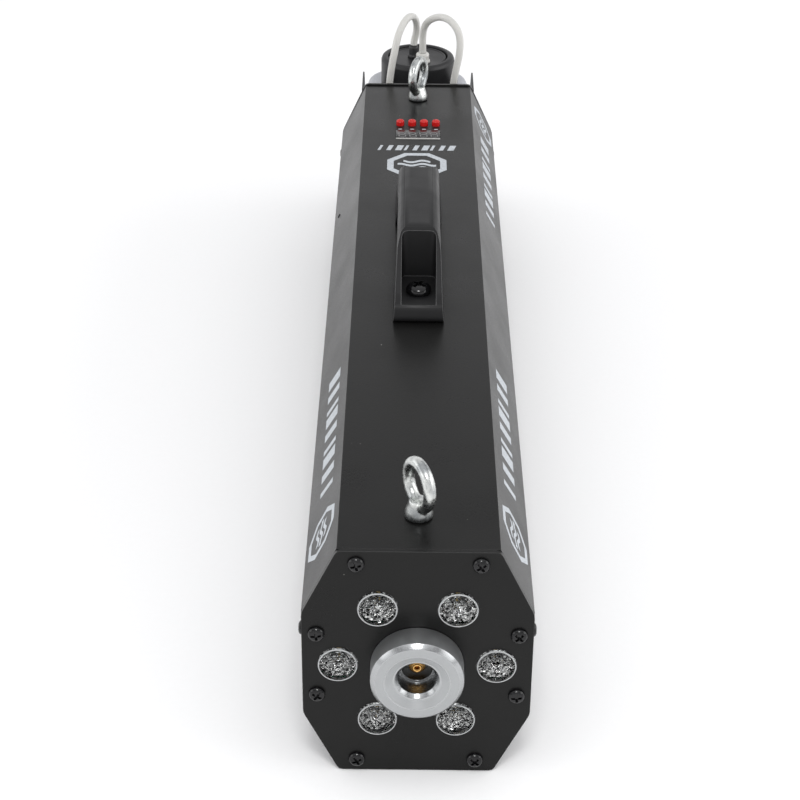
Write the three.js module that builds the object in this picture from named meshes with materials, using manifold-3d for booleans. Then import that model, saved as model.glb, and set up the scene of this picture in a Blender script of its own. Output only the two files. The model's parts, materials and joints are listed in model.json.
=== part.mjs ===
// A hand-held fog machine: a long octagonal sheet-metal case with a heater and nozzle at the front, a ring
// of six LED lenses round the nozzle, a carrying handle and two eyebolts on top, and a fluid tank in a
// cradle at the rear. Millimetres, +Z up. X is the width. Inside this file Y is measured from the outer
// face of the front plate towards the rear, and the last group moves the origin to the middle of the base.
import * as THREE from 'three';
import { mergeVertices } from 'three/addons/utils/BufferGeometryUtils.js';
import Module from 'manifold-3d';

const wasm = await Module();
wasm.setup();

// ---------------------------------------------------------------- driving dimensions

const GAP = 0.3; // left between pieces that touch
const SHEET = 1.2; // folded steel sheet
const PLATE = 2; // front and rear plates

const HALF_WIDTH = 55;
const HEIGHT = 130.5;
const HALF_FLAT = 38; // half of the flat top and bottom faces
const CHAMFER = 35.5; // height of each sloping face
const LENGTH = 596; // front plate to rear plate, outside
const MIDDLE_Z = HEIGHT / 2;
const INNER_TOP = HEIGHT - SHEET;
const SHELL_FRONT = PLATE + GAP;
const SHELL_REAR = LENGTH - PLATE - GAP;
const BACK = LENGTH + GAP; // where parts fixed to the rear plate begin

const PLATE_SCREWS = { x: 29, edge: 7, side: 7, spread: 18, hole: 2.1 };
const TAB = { half: 6.5, reach: 14, lowReach: 10.2 };
const TRAY = { inset: 1.6, flangeTop: 60, flangeStart: 8 };

const LEDS = { count: 6, circle: 37.9, hole: 9.8, face: 9.5, flange: 10.5, back: 11.2 };
const RING = { radius: 22.3, front: -14.6, bevel: 2.1, bore: 9, ledge: -2.3, throat: 7.5 };
const RING_FACE = { inner: 15.6, lipOuter: 11.4, lipInner: 10.8, lip: -12.5, boreFront: -10.5 };
const SPIGOT = { radius: 9.9, end: 5.3 };
const PLATE_BORE = 10.3;
const REAR_LIP = 1.1; // how far the rear plate stands above the flat top
const NOZZLE = { radius: 4, tip: -3, head: 5, shank: 3, end: 20, orifice: 0.9 };

const HEATER = { radius: 26, nose: 8.5, noseFront: 6, front: 24, rear: 204, port: 2.6 };
const JACKET = { radius: 33, front: 32, rear: 188 };
const ELEMENT = { radius: 4, drop: 14, front: 62, rear: 216 };
const HEATER_BRACKETS = { front: 28, rear: 192, halfWidth: 34, top: 97, foot: 14 };

const PUMP = { y: 330, coil: 18, coilBottom: 30, coilTop: 70, barrel: 8, bore: 5.3, boreTop: 72 };
const PUMP_PORT = { channel: 1.5, nipple: 3 };
const PUMP_BRACKET = { halfWidth: 22, top: 75, foot: 18 };
const THERMOSTAT = { radius: 8, x: 13, up: 10, length: 8 };
const PLUNGER = { radius: 5, bottom: 34.3, top: 60 };
const SPRING = { radius: 3.6, wire: 0.5, turns: 5, bottom: 61, top: 71 };

const BOARD = { halfWidth: 34, thickness: 1.6, studInset: 4 };
const CONTROL = { front: 475, rear: 545, bottom: 117 };
const SUPPLY = { front: 400, rear: 520, bottom: 11 };
const DISPLAY = { halfWidth: 15.15, front: 493.5, rear: 507.5, proud: 0.8 };
const BUTTONS = { y: 519, pitch: 8.25, radius: 2.75, proud: 4, stem: 1.6, stemBottom: -7.1, collar: 3.9 };

const EYES = {
  front: { y: 29.4, turn: -63 },
  rear: { y: 567.6, turn: 68 },
  ringRadius: 10.9,
  wire: 3.1,
  ringHeight: 17.6,
  shank: 4,
  shankLength: 19,
};
const HANDLE = { y: 309.4, halfLength: 83, height: 41, foot: 10, halfWidth: 13.5, screw: 65.4 };
const HANDLE_FLARE = { end: 3.6, side: 0.9 }; // how far the feet spread at their bottom edges
const HANDLE_SCREW = { radius: 7.2, height: 4.8, shank: 2.5, length: 28, hole: 2.8 };
const POCKET = { halfWidth: 9.8, end: 45.5 };

const CRADLE = { halfWidth: 41, floor: 40, rear: 695, lip: 66, cheekTop: 127, cheekFlat: 632, flange: 86 };
const TANK = { y: 648, halfWidth: 38.5, halfDepth: 42.5, bottom: 41.6, shoulder: 111, wall: 1.5, neck: 22.4 };
const NECK_TOP = 126.8;
const CAP = { radius: 27.5, bottom: 113, top: 134.5, bore: 23.3, lip: 22.2 };
const DISC_TOP = 133.4;
const BARB_FOOT = 122;
const BARB_FEED = { x: 3.4, y: 637 };
const BARB_RETURN = { x: -3.2, y: 647.8 };
const HOSE = { radius: 2.6, sides: 8, steps: 18 };
const INNER_TUBE = { radius: 2.5, feedRadius: 2, sides: 8, steps: 18 };
const PICKUP = { radius: 3, bottom: 50, filterRadius: 6, filterBottom: 44, filterTop: 58 };
const ELBOW = { y: 600.5, z: 101, top: 112, feedX: 25.2, returnX: -21, radius: 3.6, inner: 582 };

const INLET = { x: -8.5, z: 20, halfWidth: 24, halfHeight: 15, bodyHalfWidth: 13.7, bodyHalfHeight: 13.5 };
const SOCKET = { halfWidth: 12, halfHeight: 8.2, z: 24.5, floor: 583, pinEnd: 594 };
const DRAWER = { halfWidth: 9.7, halfHeight: 3.2, z: 11, front: 580.5 };
const SWITCH = { x: 27, z: 20, halfWidth: 7.5, halfHeight: 10.5, tilt: 10 };
const ROCKER = { halfWidth: 5, halfHeight: 7.6, proud: 2.6, waist: 1.2, deep: -4, root: 5 };
const INLET_FLANGE = 3; // thickness of the flange outside the rear plate
const INLET_SCREW = { spread: 20, hole: 1.8, shank: 1.5, head: 3, headHeight: 1.8 };
const NUTS = {
  handle: { outer: 4.6, inner: 2.8, height: 4 },
  eyebolt: { outer: 7.5, inner: 4.3, height: 6 },
};

// Routes of the hoses and tubes, as points on their centre lines.
const HOSE_FEED_ROUTE = [
  [3.4, 637, 140.8], [3.4, 637, 147], [3.4, 636.6, 153.4], [4.5, 634.3, 161.1], [8, 629.5, 167.8],
  [14.8, 621.5, 173.2], [21.5, 613.5, 174.2], [26.4, 608, 171.2], [29.2, 604.8, 166.3], [30.2, 602.6, 159.5],
  [29.5, 601.3, 150], [27.7, 600.6, 141], [26.1, 600.5, 131], [25.3, 600.5, 121], [25.2, 600.5, 112.3],
];
const HOSE_RETURN_ROUTE = [
  [-3.2, 647.8, 142.8], [-3, 647.8, 145.5], [-1.7, 647.2, 151.5], [-1.3, 644.5, 158.2], [-2.4, 639, 165.4],
  [-4.7, 632, 169.9], [-7.6, 625, 171.3], [-11.1, 616, 169.8], [-14.5, 608, 164.1], [-16.9, 603.5, 154.8],
  [-19.3, 601.2, 142.1], [-20.8, 600.5, 130], [-21, 600.5, 121], [-21, 600.5, 112.3],
];
const SUCTION_ROUTE = [
  [25.2, 581.7, 101], [26.5, 566, 100], [40, 535, 84], [46, 480, 62], [46, 420, 58], [36, 384, 38],
  [6, 364, 23], [0, 354, 22], [0, 346.3, 22],
];
const BLEED_ROUTE = [
  [-21, 581.7, 101], [-23, 566, 101], [-38, 535, 95], [-44, 470, 88], [-44, 400, 92], [-30, 360, 106],
  [-10, 341, 114], [-2, 332.5, 112], [0, 330, 105], [0, 330, 98.3],
];
const FEED_TUBE_ROUTE = [
  [0, 198, MIDDLE_Z], [0, 225, MIDDLE_Z], [0, 250, 69], [0, 285, 84], [0, 298, 86], [0, 313.4, 86],
];

// ---------------------------------------------------------------- solids: join, cut and basic shapes

// A geometry as a solid that can be joined and cut.
function solidOf(geometry) {
  const bare = geometry.clone();
  bare.deleteAttribute('normal');
  bare.deleteAttribute('uv');
  const merged = mergeVertices(bare, 1e-4);
  const index = merged.index.array;
  const triangles = [];
  for (let i = 0; i < index.length; i += 3) {
    const [a, b, c] = [index[i], index[i + 1], index[i + 2]];
    if (a !== b && b !== c && c !== a) triangles.push(a, b, c);
  }
  return new wasm.Manifold(new wasm.Mesh({
    numProp: 3,
    vertProperties: merged.attributes.position.array,
    triVerts: new Uint32Array(triangles),
  }));
}

function geometryOf(solid) {
  const mesh = solid.getMesh();
  const geometry = new THREE.BufferGeometry();
  geometry.setAttribute('position', new THREE.BufferAttribute(mesh.vertProperties, 3));
  geometry.setIndex(new THREE.BufferAttribute(mesh.triVerts, 1));
  geometry.computeVertexNormals();
  return geometry;
}

function join(first, ...others) {
  return geometryOf(others.reduce((sum, piece) => sum.add(solidOf(piece)), solidOf(first)));
}

function cut(base, ...tools) {
  return geometryOf(tools.reduce((rest, tool) => rest.subtract(solidOf(tool)), solidOf(base)));
}

function common(first, second) {
  return geometryOf(solidOf(first).intersect(solidOf(second)));
}

function box(x0, x1, y0, y1, z0, z1) {
  const block = new THREE.BoxGeometry(x1 - x0, y1 - y0, z1 - z0);
  return block.translate((x0 + x1) / 2, (y0 + y1) / 2, (z0 + z1) / 2);
}

function rodY(radius, x, z, y0, y1, sides = 24) {
  return new THREE.CylinderGeometry(radius, radius, y1 - y0, sides).translate(x, (y0 + y1) / 2, z);
}

function rodZ(radius, x, y, z0, z1, sides = 24) {
  const rod = new THREE.CylinderGeometry(radius, radius, z1 - z0, sides);
  return rod.rotateX(Math.PI / 2).translate(x, y, (z0 + z1) / 2);
}

// A turned piece. The profile is a list of [radius, height]; it runs upwards on its outer side, and
// either starts and ends on the axis or comes back to its first point.
function turned(profile, sides = 32) {
  return new THREE.LatheGeometry(profile.map(([r, h]) => new THREE.Vector2(r, h)), sides);
}

function turnedZ(profile, x, y, sides) {
  return turned(profile, sides).rotateX(Math.PI / 2).translate(x, y, 0);
}

// Heights in the profile are Y positions.
function turnedY(profile, x, z, sides) {
  return turned(profile, sides).translate(x, 0, z);
}

function closed(profile) {
  return [...profile, profile[0]];
}

function outline(points) {
  return new THREE.Shape(points.map(([a, b]) => new THREE.Vector2(a, b)));
}

function flatExtrusion(shape, depth) {
  return new THREE.ExtrudeGeometry(shape, { depth, bevelEnabled: false, curveSegments: 12 });
}

// The shape is drawn in X and Z.
function extrudeY(shape, y0, y1) {
  return flatExtrusion(shape, y1 - y0).rotateX(Math.PI / 2).translate(0, y1, 0);
}

// The shape is drawn in Y and Z.
function extrudeX(shape, x0, x1) {
  const turn = new THREE.Matrix4().makeBasis(
    new THREE.Vector3(0, 1, 0), new THREE.Vector3(0, 0, 1), new THREE.Vector3(1, 0, 0));
  return flatExtrusion(shape, x1 - x0).applyMatrix4(turn).translate(x0, 0, 0);
}

// A round tube or wire along a smooth curve.
function sweep(curve, radius, sides, steps) {
  const section = new THREE.Shape(new THREE.Path().absarc(0, 0, radius, 0, 2 * Math.PI).getPoints(sides / 2)
    .slice(0, -1));
  return new THREE.ExtrudeGeometry(section, { steps, bevelEnabled: false, extrudePath: curve });
}

function route(points) {
  return new THREE.CatmullRomCurve3(points.map((p) => new THREE.Vector3(...p)), false, 'centripetal');
}

// Each corner of a polygon replaced by a short curve that starts the given distance from it.
function roundCorners(points, distance, steps) {
  return points.flatMap((corner, i) => {
    const here = new THREE.Vector2(...corner);
    const before = new THREE.Vector2(...points.at(i - 1)).sub(here).setLength(distance).add(here);
    const after = new THREE.Vector2(...points[(i + 1) % points.length]).sub(here).setLength(distance).add(here);
    const bend = new THREE.QuadraticBezierCurve(before, here, after);
    return bend.getPoints(steps).map((p) => [p.x, p.y]);
  });
}

// The path moved sideways, to the right of its direction, with mitred corners.
function offsetPath(path, distance) {
  const normal = (a, b) => new THREE.Vector2(b[1] - a[1], a[0] - b[0]).normalize();
  return path.map((point, i) => {
    const before = i > 0 ? normal(path[i - 1], point) : normal(point, path[1]);
    const after = i < path.length - 1 ? normal(point, path[i + 1]) : before;
    const mitre = before.clone().add(after).normalize();
    const reach = distance / mitre.dot(before);
    return [point[0] + mitre.x * reach, point[1] + mitre.y * reach];
  });
}

function foldedSheet(path) {
  return outline([...path, ...offsetPath(path, SHEET).reverse()]);
}

// The case's outline in X and Z, clockwise from the lower left corner of the left side.
const OCTAGON = [
  [-HALF_WIDTH, CHAMFER], [-HALF_WIDTH, HEIGHT - CHAMFER], [-HALF_FLAT, HEIGHT], [HALF_FLAT, HEIGHT],
  [HALF_WIDTH, HEIGHT - CHAMFER], [HALF_WIDTH, CHAMFER], [HALF_FLAT, 0], [-HALF_FLAT, 0],
];

const PLATE_SCREW_PLACES = [-1, 1].flatMap((side) => [
  [side * PLATE_SCREWS.x, HEIGHT - PLATE_SCREWS.edge],
  [side * PLATE_SCREWS.x, PLATE_SCREWS.edge],
  [side * (HALF_WIDTH - PLATE_SCREWS.side), MIDDLE_Z + PLATE_SCREWS.spread],
  [side * (HALF_WIDTH - PLATE_SCREWS.side), MIDDLE_Z - PLATE_SCREWS.spread],
]);

const LED_PLACES = Array.from({ length: LEDS.count }, (_, i) => {
  const angle = (i * 2 * Math.PI) / LEDS.count;
  return [LEDS.circle * Math.cos(angle), MIDDLE_Z + LEDS.circle * Math.sin(angle)];
});

const BUTTON_PLACES = [-1.5, -0.5, 0.5, 1.5].map((step) => step * BUTTONS.pitch);

// The four studs that hold a circuit board at its corners.
function boardStuds(board, z0, z1) {
  const x = BOARD.halfWidth - BOARD.studInset;
  const ends = [board.front + BOARD.studInset, board.rear - BOARD.studInset];
  return ends.flatMap((y) => [-x, x].map((at) => rodZ(2, at, y, z0, z1, 10)));
}

// ---------------------------------------------------------------- case

// Tabs folded in at both ends of the case, for the plates' screws. Each is given by its X and Z range.
function endTabs(ranges) {
  const ends = [[SHELL_FRONT, SHELL_FRONT + SHEET], [SHELL_REAR - SHEET, SHELL_REAR]];
  return ends.flatMap(([y0, y1]) => ranges.map(([x0, x1, z0, z1]) => box(x0, x1, y0, y1, z0, z1)));
}

function topCover() {
  const sideBottom = CHAMFER + 0.5;
  const path = [[-HALF_WIDTH, sideBottom], ...OCTAGON.slice(1, 5), [HALF_WIDTH, sideBottom]];
  const inSheet = SHEET / 2;
  const { half, reach } = TAB;
  const topTabs = [-1, 1].map((side) => side * PLATE_SCREWS.x)
    .map((x) => [x - half, x + half, HEIGHT - reach, HEIGHT - inSheet]);
  const sideTabs = [-1, 1].map((up) => MIDDLE_Z + up * PLATE_SCREWS.spread).flatMap((z) => [
    [-HALF_WIDTH + inSheet, -HALF_WIDTH + reach, z - half, z + half],
    [HALF_WIDTH - reach, HALF_WIDTH - inSheet, z - half, z + half],
  ]);
  const boardTop = CONTROL.bottom + BOARD.thickness;
  const cover = join(
    extrudeY(foldedSheet(path), SHELL_FRONT, SHELL_REAR),
    ...endTabs([...topTabs, ...sideTabs]),
    ...boardStuds(CONTROL, boardTop + GAP, HEIGHT - inSheet),
  );
  const through = (radius, x, y) => rodZ(radius, x, y, INNER_TOP - 1, HEIGHT + 1, 16);
  const clear = 0.35;
  return cut(
    cover,
    box(-DISPLAY.halfWidth - clear, DISPLAY.halfWidth + clear, DISPLAY.front - clear, DISPLAY.rear + clear,
      INNER_TOP - 1, HEIGHT + 1),
    ...BUTTON_PLACES.map((x) => through(BUTTONS.radius + clear, x, BUTTONS.y)),
    through(EYES.shank + clear, 0, EYES.front.y),
    through(EYES.shank + clear, 0, EYES.rear.y),
    through(HANDLE_SCREW.hole, 0, HANDLE.y - HANDLE.screw),
    through(HANDLE_SCREW.hole, 0, HANDLE.y + HANDLE.screw),
  );
}

function bottomTray() {
  const half = HALF_WIDTH - TRAY.inset;
  const bend = CHAMFER * (half - HALF_FLAT) / (HALF_WIDTH - HALF_FLAT);
  const floor = [[-half, bend], [-HALF_FLAT, 0], [HALF_FLAT, 0], [half, bend]].reverse();
  const tabs = [-1, 1].map((side) => side * PLATE_SCREWS.x)
    .map((x) => [x - TAB.half, x + TAB.half, SHEET / 2, TAB.lowReach]);
  const flange = (side) => {
    const [x0, x1] = side < 0 ? [-half, -half + SHEET] : [half - SHEET, half];
    return box(x0, x1, TRAY.flangeStart, LENGTH - TRAY.flangeStart, bend - 1, TRAY.flangeTop);
  };
  return join(
    extrudeY(foldedSheet(floor), SHELL_FRONT, SHELL_REAR),
    flange(-1),
    flange(1),
    ...endTabs(tabs),
    ...boardStuds(SUPPLY, SHEET / 2, SUPPLY.bottom - GAP),
  );
}

// An end plate with rounded corners, its screw holes and any further round holes, each [x, z, radius].
// Its top edge may stand above the case.
function endPlate(y0, y1, screws, holes, lip = 0) {
  const corners = OCTAGON.map(([x, z]) => [x, z === HEIGHT ? z + lip : z]);
  const shape = outline(roundCorners(corners, 2, 2));
  const screwHoles = screws.map(([x, z]) => rodY(PLATE_SCREWS.hole, x, z, y0 - 1, y1 + 1, 8));
  return cut(
    extrudeY(shape, y0, y1),
    ...screwHoles,
    ...holes.map(([x, z, radius]) => rodY(radius, x, z, y0 - 1, y1 + 1, 20)),
  );
}

function frontPlate() {
  const plate = endPlate(0, PLATE, PLATE_SCREW_PLACES, [
    [0, MIDDLE_Z, PLATE_BORE],
    ...LED_PLACES.map(([x, z]) => [x, z, LEDS.hole]),
  ]);
  const studs = [30, 150, 210, 330].map((degrees) => {
    const angle = THREE.MathUtils.degToRad(degrees);
    const [x, z] = [LEDS.circle * Math.cos(angle), MIDDLE_Z + LEDS.circle * Math.sin(angle)];
    return rodY(2.2, x, z, PLATE / 2, 11.6, 10);
  });
  return join(plate, ...studs);
}

// The lower edge has no screws, because the inlet and the switch take up the room there.
function rearPlate() {
  const elbowHole = ELBOW.radius + 0.5;
  const screws = PLATE_SCREW_PLACES.filter(([, z]) => z > PLATE_SCREWS.edge);
  const plate = endPlate(LENGTH - PLATE, LENGTH, screws, [
    [ELBOW.feedX, ELBOW.z, elbowHole],
    [ELBOW.returnX, ELBOW.z, elbowHole],
    [INLET.x - INLET_SCREW.spread, INLET.z, INLET_SCREW.hole],
    [INLET.x + INLET_SCREW.spread, INLET.z, INLET_SCREW.hole],
  ], REAR_LIP);
  const clear = 0.4;
  const opening = (part, halfWidth, halfHeight) => box(
    part.x - halfWidth - clear, part.x + halfWidth + clear, LENGTH - PLATE - 1, LENGTH + 1,
    part.z - halfHeight - clear, part.z + halfHeight + clear);
  return cut(
    plate,
    opening(INLET, INLET.bodyHalfWidth, INLET.bodyHalfHeight),
    opening(SWITCH, SWITCH.halfWidth - 1, SWITCH.halfHeight - 1),
  );
}

// ---------------------------------------------------------------- nozzle and lights

// A turned ring: a bevelled rim, a flat face, a hollow cone down to a narrow lip, and a stepped bore.
function nozzleRing() {
  const { radius, front, bevel, bore, ledge, throat } = RING;
  const { inner, lipOuter, lipInner, lip, boreFront } = RING_FACE;
  return turnedY(closed([
    [bore, boreFront], [bore, ledge], [throat, ledge], [throat, SPIGOT.end], [SPIGOT.radius, SPIGOT.end],
    [SPIGOT.radius, -GAP], [radius, -GAP], [radius, front + bevel], [radius - bevel, front],
    [inner, front], [lipOuter, lip], [lipInner, lip],
  ].reverse()), 0, MIDDLE_Z, 32);
}

function sprayNozzle() {
  const { radius, tip, head, shank, end, orifice } = NOZZLE;
  return turnedY([
    [0, tip + 3], [orifice, tip + 3], [orifice, tip], [2.2, tip], [2.6, tip + 0.8], [radius, tip + 1.8],
    [radius, head], [shank, head], [shank, end], [0, end],
  ], 0, MIDDLE_Z, 20);
}

// One collimating lens with a well in the middle of its face and a hollow over the emitter behind it.
function ledLens([x, z]) {
  const { face, flange, back } = LEDS;
  return turnedY([
    [0, 3.5], [2.4, 3.5], [3, -1.1], [8.8, -1.3], [face, -0.6], [face, SHELL_FRONT],
    [flange, SHELL_FRONT], [flange, 3.8], [4.2, back], [0, back],
  ], x, z, 18);
}

function ledBoard() {
  const [front, thickness] = [11.9, 1.6];
  const ring = turnedY(closed([
    [24, front + thickness], [24, front], [49, front], [49, front + thickness],
  ]), 0, MIDDLE_Z, 36);
  return join(ring, ...LED_PLACES.map(([x, z]) => rodY(2.2, x, z, front - 0.4, front + 1, 10)));
}

// ---------------------------------------------------------------- heater

function heaterBlock() {
  const { radius, nose, noseFront, front, rear, port } = HEATER;
  const threadRadius = NOZZLE.shank + GAP;
  const block = turnedY([
    [0, 22], [threadRadius, 22], [threadRadius, noseFront], [nose, noseFront], [nose, front],
    [radius, front], [radius, rear], [port, rear], [port, rear - 8], [0, rear - 8],
  ], 0, MIDDLE_Z, 28);
  const elementBore = rodY(ELEMENT.radius + GAP, 0, MIDDLE_Z - ELEMENT.drop, ELEMENT.front - 2, rear + 1, 16);
  return cut(block, elementBore);
}

function heatingElement() {
  return rodY(ELEMENT.radius, 0, MIDDLE_Z - ELEMENT.drop, ELEMENT.front, ELEMENT.rear, 16);
}

function heaterJacket() {
  const inner = HEATER.radius + 0.5;
  return turnedY(closed([
    [inner, JACKET.rear], [inner, JACKET.front], [JACKET.radius, JACKET.front], [JACKET.radius, JACKET.rear],
  ]), 0, MIDDLE_Z, 28);
}

// An upright plate round the heater, with a foot on the case floor that points the given way along Y.
function heaterBracket(y, footWay) {
  const [halfWidth, bottom] = [HEATER_BRACKETS.halfWidth, SHEET + GAP];
  const [footFront, footRear] = footWay < 0 ? [y - HEATER_BRACKETS.foot, y + 1] : [y, y + HEATER_BRACKETS.foot];
  return cut(
    join(
      box(-halfWidth, halfWidth, y, y + 1.5, bottom, HEATER_BRACKETS.top),
      box(-halfWidth, halfWidth, footFront, footRear, bottom, bottom + 1.5),
    ),
    rodY(HEATER.radius + 0.4, 0, MIDDLE_Z, y - 1, y + 3, 28),
  );
}

function thermostat() {
  const { radius, x, up, length } = THERMOSTAT;
  return rodY(radius, x, MIDDLE_Z + up, HEATER.rear + GAP, HEATER.rear + length, 16);
}

// ---------------------------------------------------------------- pump and inner tubes

function pumpBody() {
  const { y, coil, coilBottom, coilTop, barrel, bore, boreTop } = PUMP;
  const { channel, nipple } = PUMP_PORT;
  const [inletZ, outletZ] = [SUCTION_ROUTE.at(-1)[2], FEED_TUBE_ROUTE.at(-1)[2]];
  const front = FEED_TUBE_ROUTE.at(-1)[1] + GAP;
  const rear = SUCTION_ROUTE.at(-1)[1] - GAP;
  const top = BLEED_ROUTE.at(-1)[2] - GAP;
  const body = join(
    box(-coil, coil, y - coil - 2, y + coil, coilBottom, coilTop),
    rodZ(barrel, 0, y, inletZ - 6, outletZ + 6, 20),
    rodZ(nipple, 0, y, outletZ, top, 12),
    rodY(nipple, 0, inletZ, y, rear, 12),
    rodY(nipple, 0, outletZ, front, y, 12),
  );
  return cut(
    body,
    rodZ(bore, 0, y, PLUNGER.bottom - GAP, boreTop, 20),
    rodZ(channel, 0, y, inletZ - 2, top + 1, 8),
    rodY(channel, 0, inletZ, y, rear + 1, 8),
    rodY(channel, 0, outletZ, front - 1, y, 8),
  );
}

function pumpPlunger() {
  return rodZ(PLUNGER.radius, 0, PUMP.y, PLUNGER.bottom, PLUNGER.top, 20);
}

class Helix extends THREE.Curve {
  getPoint(t, target = new THREE.Vector3()) {
    const angle = 2 * Math.PI * SPRING.turns * t;
    const z = THREE.MathUtils.lerp(SPRING.bottom, SPRING.top, t);
    return target.set(SPRING.radius * Math.cos(angle), PUMP.y + SPRING.radius * Math.sin(angle), z);
  }
}

function pumpSpring() {
  return sweep(new Helix(), SPRING.wire, 4, 40);
}

function pumpBracket() {
  const { halfWidth, top, foot } = PUMP_BRACKET;
  const front = PUMP.y - PUMP.coil - 2 - GAP;
  const floor = SHEET + GAP;
  return join(
    box(-halfWidth, halfWidth, front - SHEET, front, floor, top),
    box(-halfWidth, halfWidth, front - foot, front, floor, floor + SHEET),
  );
}

// ---------------------------------------------------------------- electronics

function circuitBoard(board, ...parts) {
  const top = board.bottom + BOARD.thickness;
  const panel = box(-BOARD.halfWidth, BOARD.halfWidth, board.front, board.rear, board.bottom, top);
  return join(panel, ...parts);
}

function controlBoard() {
  const top = CONTROL.bottom + BOARD.thickness;
  const under = CONTROL.bottom + 0.5;
  const switchTop = HEIGHT - 8.2;
  const keySwitches = BUTTON_PLACES.map((x) => (
    box(x - 3, x + 3, BUTTONS.y - 3, BUTTONS.y + 3, top - 0.5, switchTop)));
  const processor = box(-10, 8, 486, 500, CONTROL.bottom - 4, under);
  const receiver = box(14, 30, 505, 525, CONTROL.bottom - 9, under);
  const capacitor = rodZ(4, -20, 520, CONTROL.bottom - 11, under, 14);
  const connector = box(-30, -16, 530, 538, CONTROL.bottom - 6, under);
  return circuitBoard(CONTROL, ...keySwitches, processor, receiver, capacitor, connector);
}

function powerBoard() {
  const on = SUPPLY.bottom + 1;
  const transformer = box(-26, 12, 416, 452, on, 46);
  const relay = box(16, 28, 414, 446, on, 34);
  const capacitors = [-18, 2].map((x) => rodZ(8, x, 474, on, 38, 16));
  const connector = box(14, 30, 462, 482, on, 28);
  const heatSink = box(-28, 26, 500, 507, on, 42);
  return circuitBoard(SUPPLY, transformer, relay, ...capacitors, connector, heatSink);
}

function displayModule() {
  const bottom = CONTROL.bottom + BOARD.thickness + GAP;
  const { halfWidth, front, rear, proud } = DISPLAY;
  return box(-halfWidth, halfWidth, front, rear, bottom, HEIGHT + proud);
}

// A push button whose z = 0 is the case's flat top: a round cap through the cover, a collar under it that
// keeps it in, and a stem.
function button() {
  const { radius, proud, stem, stemBottom, collar } = BUTTONS;
  return turned([
    [0, stemBottom], [stem, stemBottom], [stem, -2.9], [collar, -2.9], [collar, -1.5], [radius, -1.5],
    [radius, proud - 0.7], [radius - 0.7, proud], [0, proud],
  ], 12).rotateX(Math.PI / 2);
}

// A mains inlet with a socket above and a fuse drawer below, behind one flange.
function powerInlet() {
  const { x, z, halfWidth, halfHeight, bodyHalfWidth, bodyHalfHeight } = INLET;
  const face = BACK + INLET_FLANGE;
  const shell = cut(
    join(
      box(x - halfWidth, x + halfWidth, BACK, face, z - halfHeight, z + halfHeight),
      box(x - bodyHalfWidth, x + bodyHalfWidth, 577, BACK + 1, z - bodyHalfHeight, z + bodyHalfHeight),
    ),
    box(x - SOCKET.halfWidth, x + SOCKET.halfWidth, SOCKET.floor, face + 1,
      SOCKET.z - SOCKET.halfHeight, SOCKET.z + SOCKET.halfHeight),
    box(x - DRAWER.halfWidth - GAP, x + DRAWER.halfWidth + GAP, DRAWER.front - GAP, face + 1,
      DRAWER.z - DRAWER.halfHeight - GAP, DRAWER.z + DRAWER.halfHeight + GAP),
    rodY(INLET_SCREW.hole, x - INLET_SCREW.spread, z, BACK - 1, face + 1, 10),
    rodY(INLET_SCREW.hole, x + INLET_SCREW.spread, z, BACK - 1, face + 1, 10),
  );
  const pin = (dx, dz) => box(x + dx - 1, x + dx + 1, SOCKET.floor - 1, SOCKET.pinEnd,
    SOCKET.z + dz - 2, SOCKET.z + dz + 2);
  return join(shell, pin(-7, -1.5), pin(0, 2.5), pin(7, -1.5));
}

function inletScrew(side) {
  const { spread, shank, head, headHeight } = INLET_SCREW;
  const x = INLET.x + side * spread;
  const seat = BACK + INLET_FLANGE + GAP;
  return join(
    rodY(shank, x, INLET.z, 588, seat + 0.5, 10),
    rodY(head, x, INLET.z, seat, seat + headHeight, 16),
  );
}

function fuseDrawer() {
  const { halfWidth, halfHeight, z, front } = DRAWER;
  const lip = BACK + INLET_FLANGE + GAP;
  return join(
    box(INLET.x - halfWidth, INLET.x + halfWidth, front, lip + 0.5, z - halfHeight, z + halfHeight),
    box(INLET.x - halfWidth - 1, INLET.x + halfWidth + 1, lip, lip + 1.6,
      z - halfHeight - 1, z + halfHeight + 1),
  );
}

function switchBody() {
  const { x, z, halfWidth, halfHeight } = SWITCH;
  return cut(
    join(
      box(x - halfWidth, x + halfWidth, BACK, BACK + 2, z - halfHeight, z + halfHeight),
      box(x - halfWidth + 1, x + halfWidth - 1, 578, BACK + 1, z - halfHeight + 1, z + halfHeight - 1),
    ),
    box(x - 5.3, x + 5.3, 588.5, BACK + 3, z - 8.5, z + 8.5),
  );
}

// The rocker about its pivot, drawn in Y and Z and pressed in at its upper end.
function switchRocker() {
  const { halfWidth, halfHeight, proud, waist, deep, root } = ROCKER;
  const shape = outline([[deep, -root], [proud, -halfHeight], [waist, 0], [proud, halfHeight], [deep, root]]);
  return extrudeX(shape, -halfWidth, halfWidth).rotateX(THREE.MathUtils.degToRad(SWITCH.tilt));
}

// ---------------------------------------------------------------- handle and eyebolts

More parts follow.
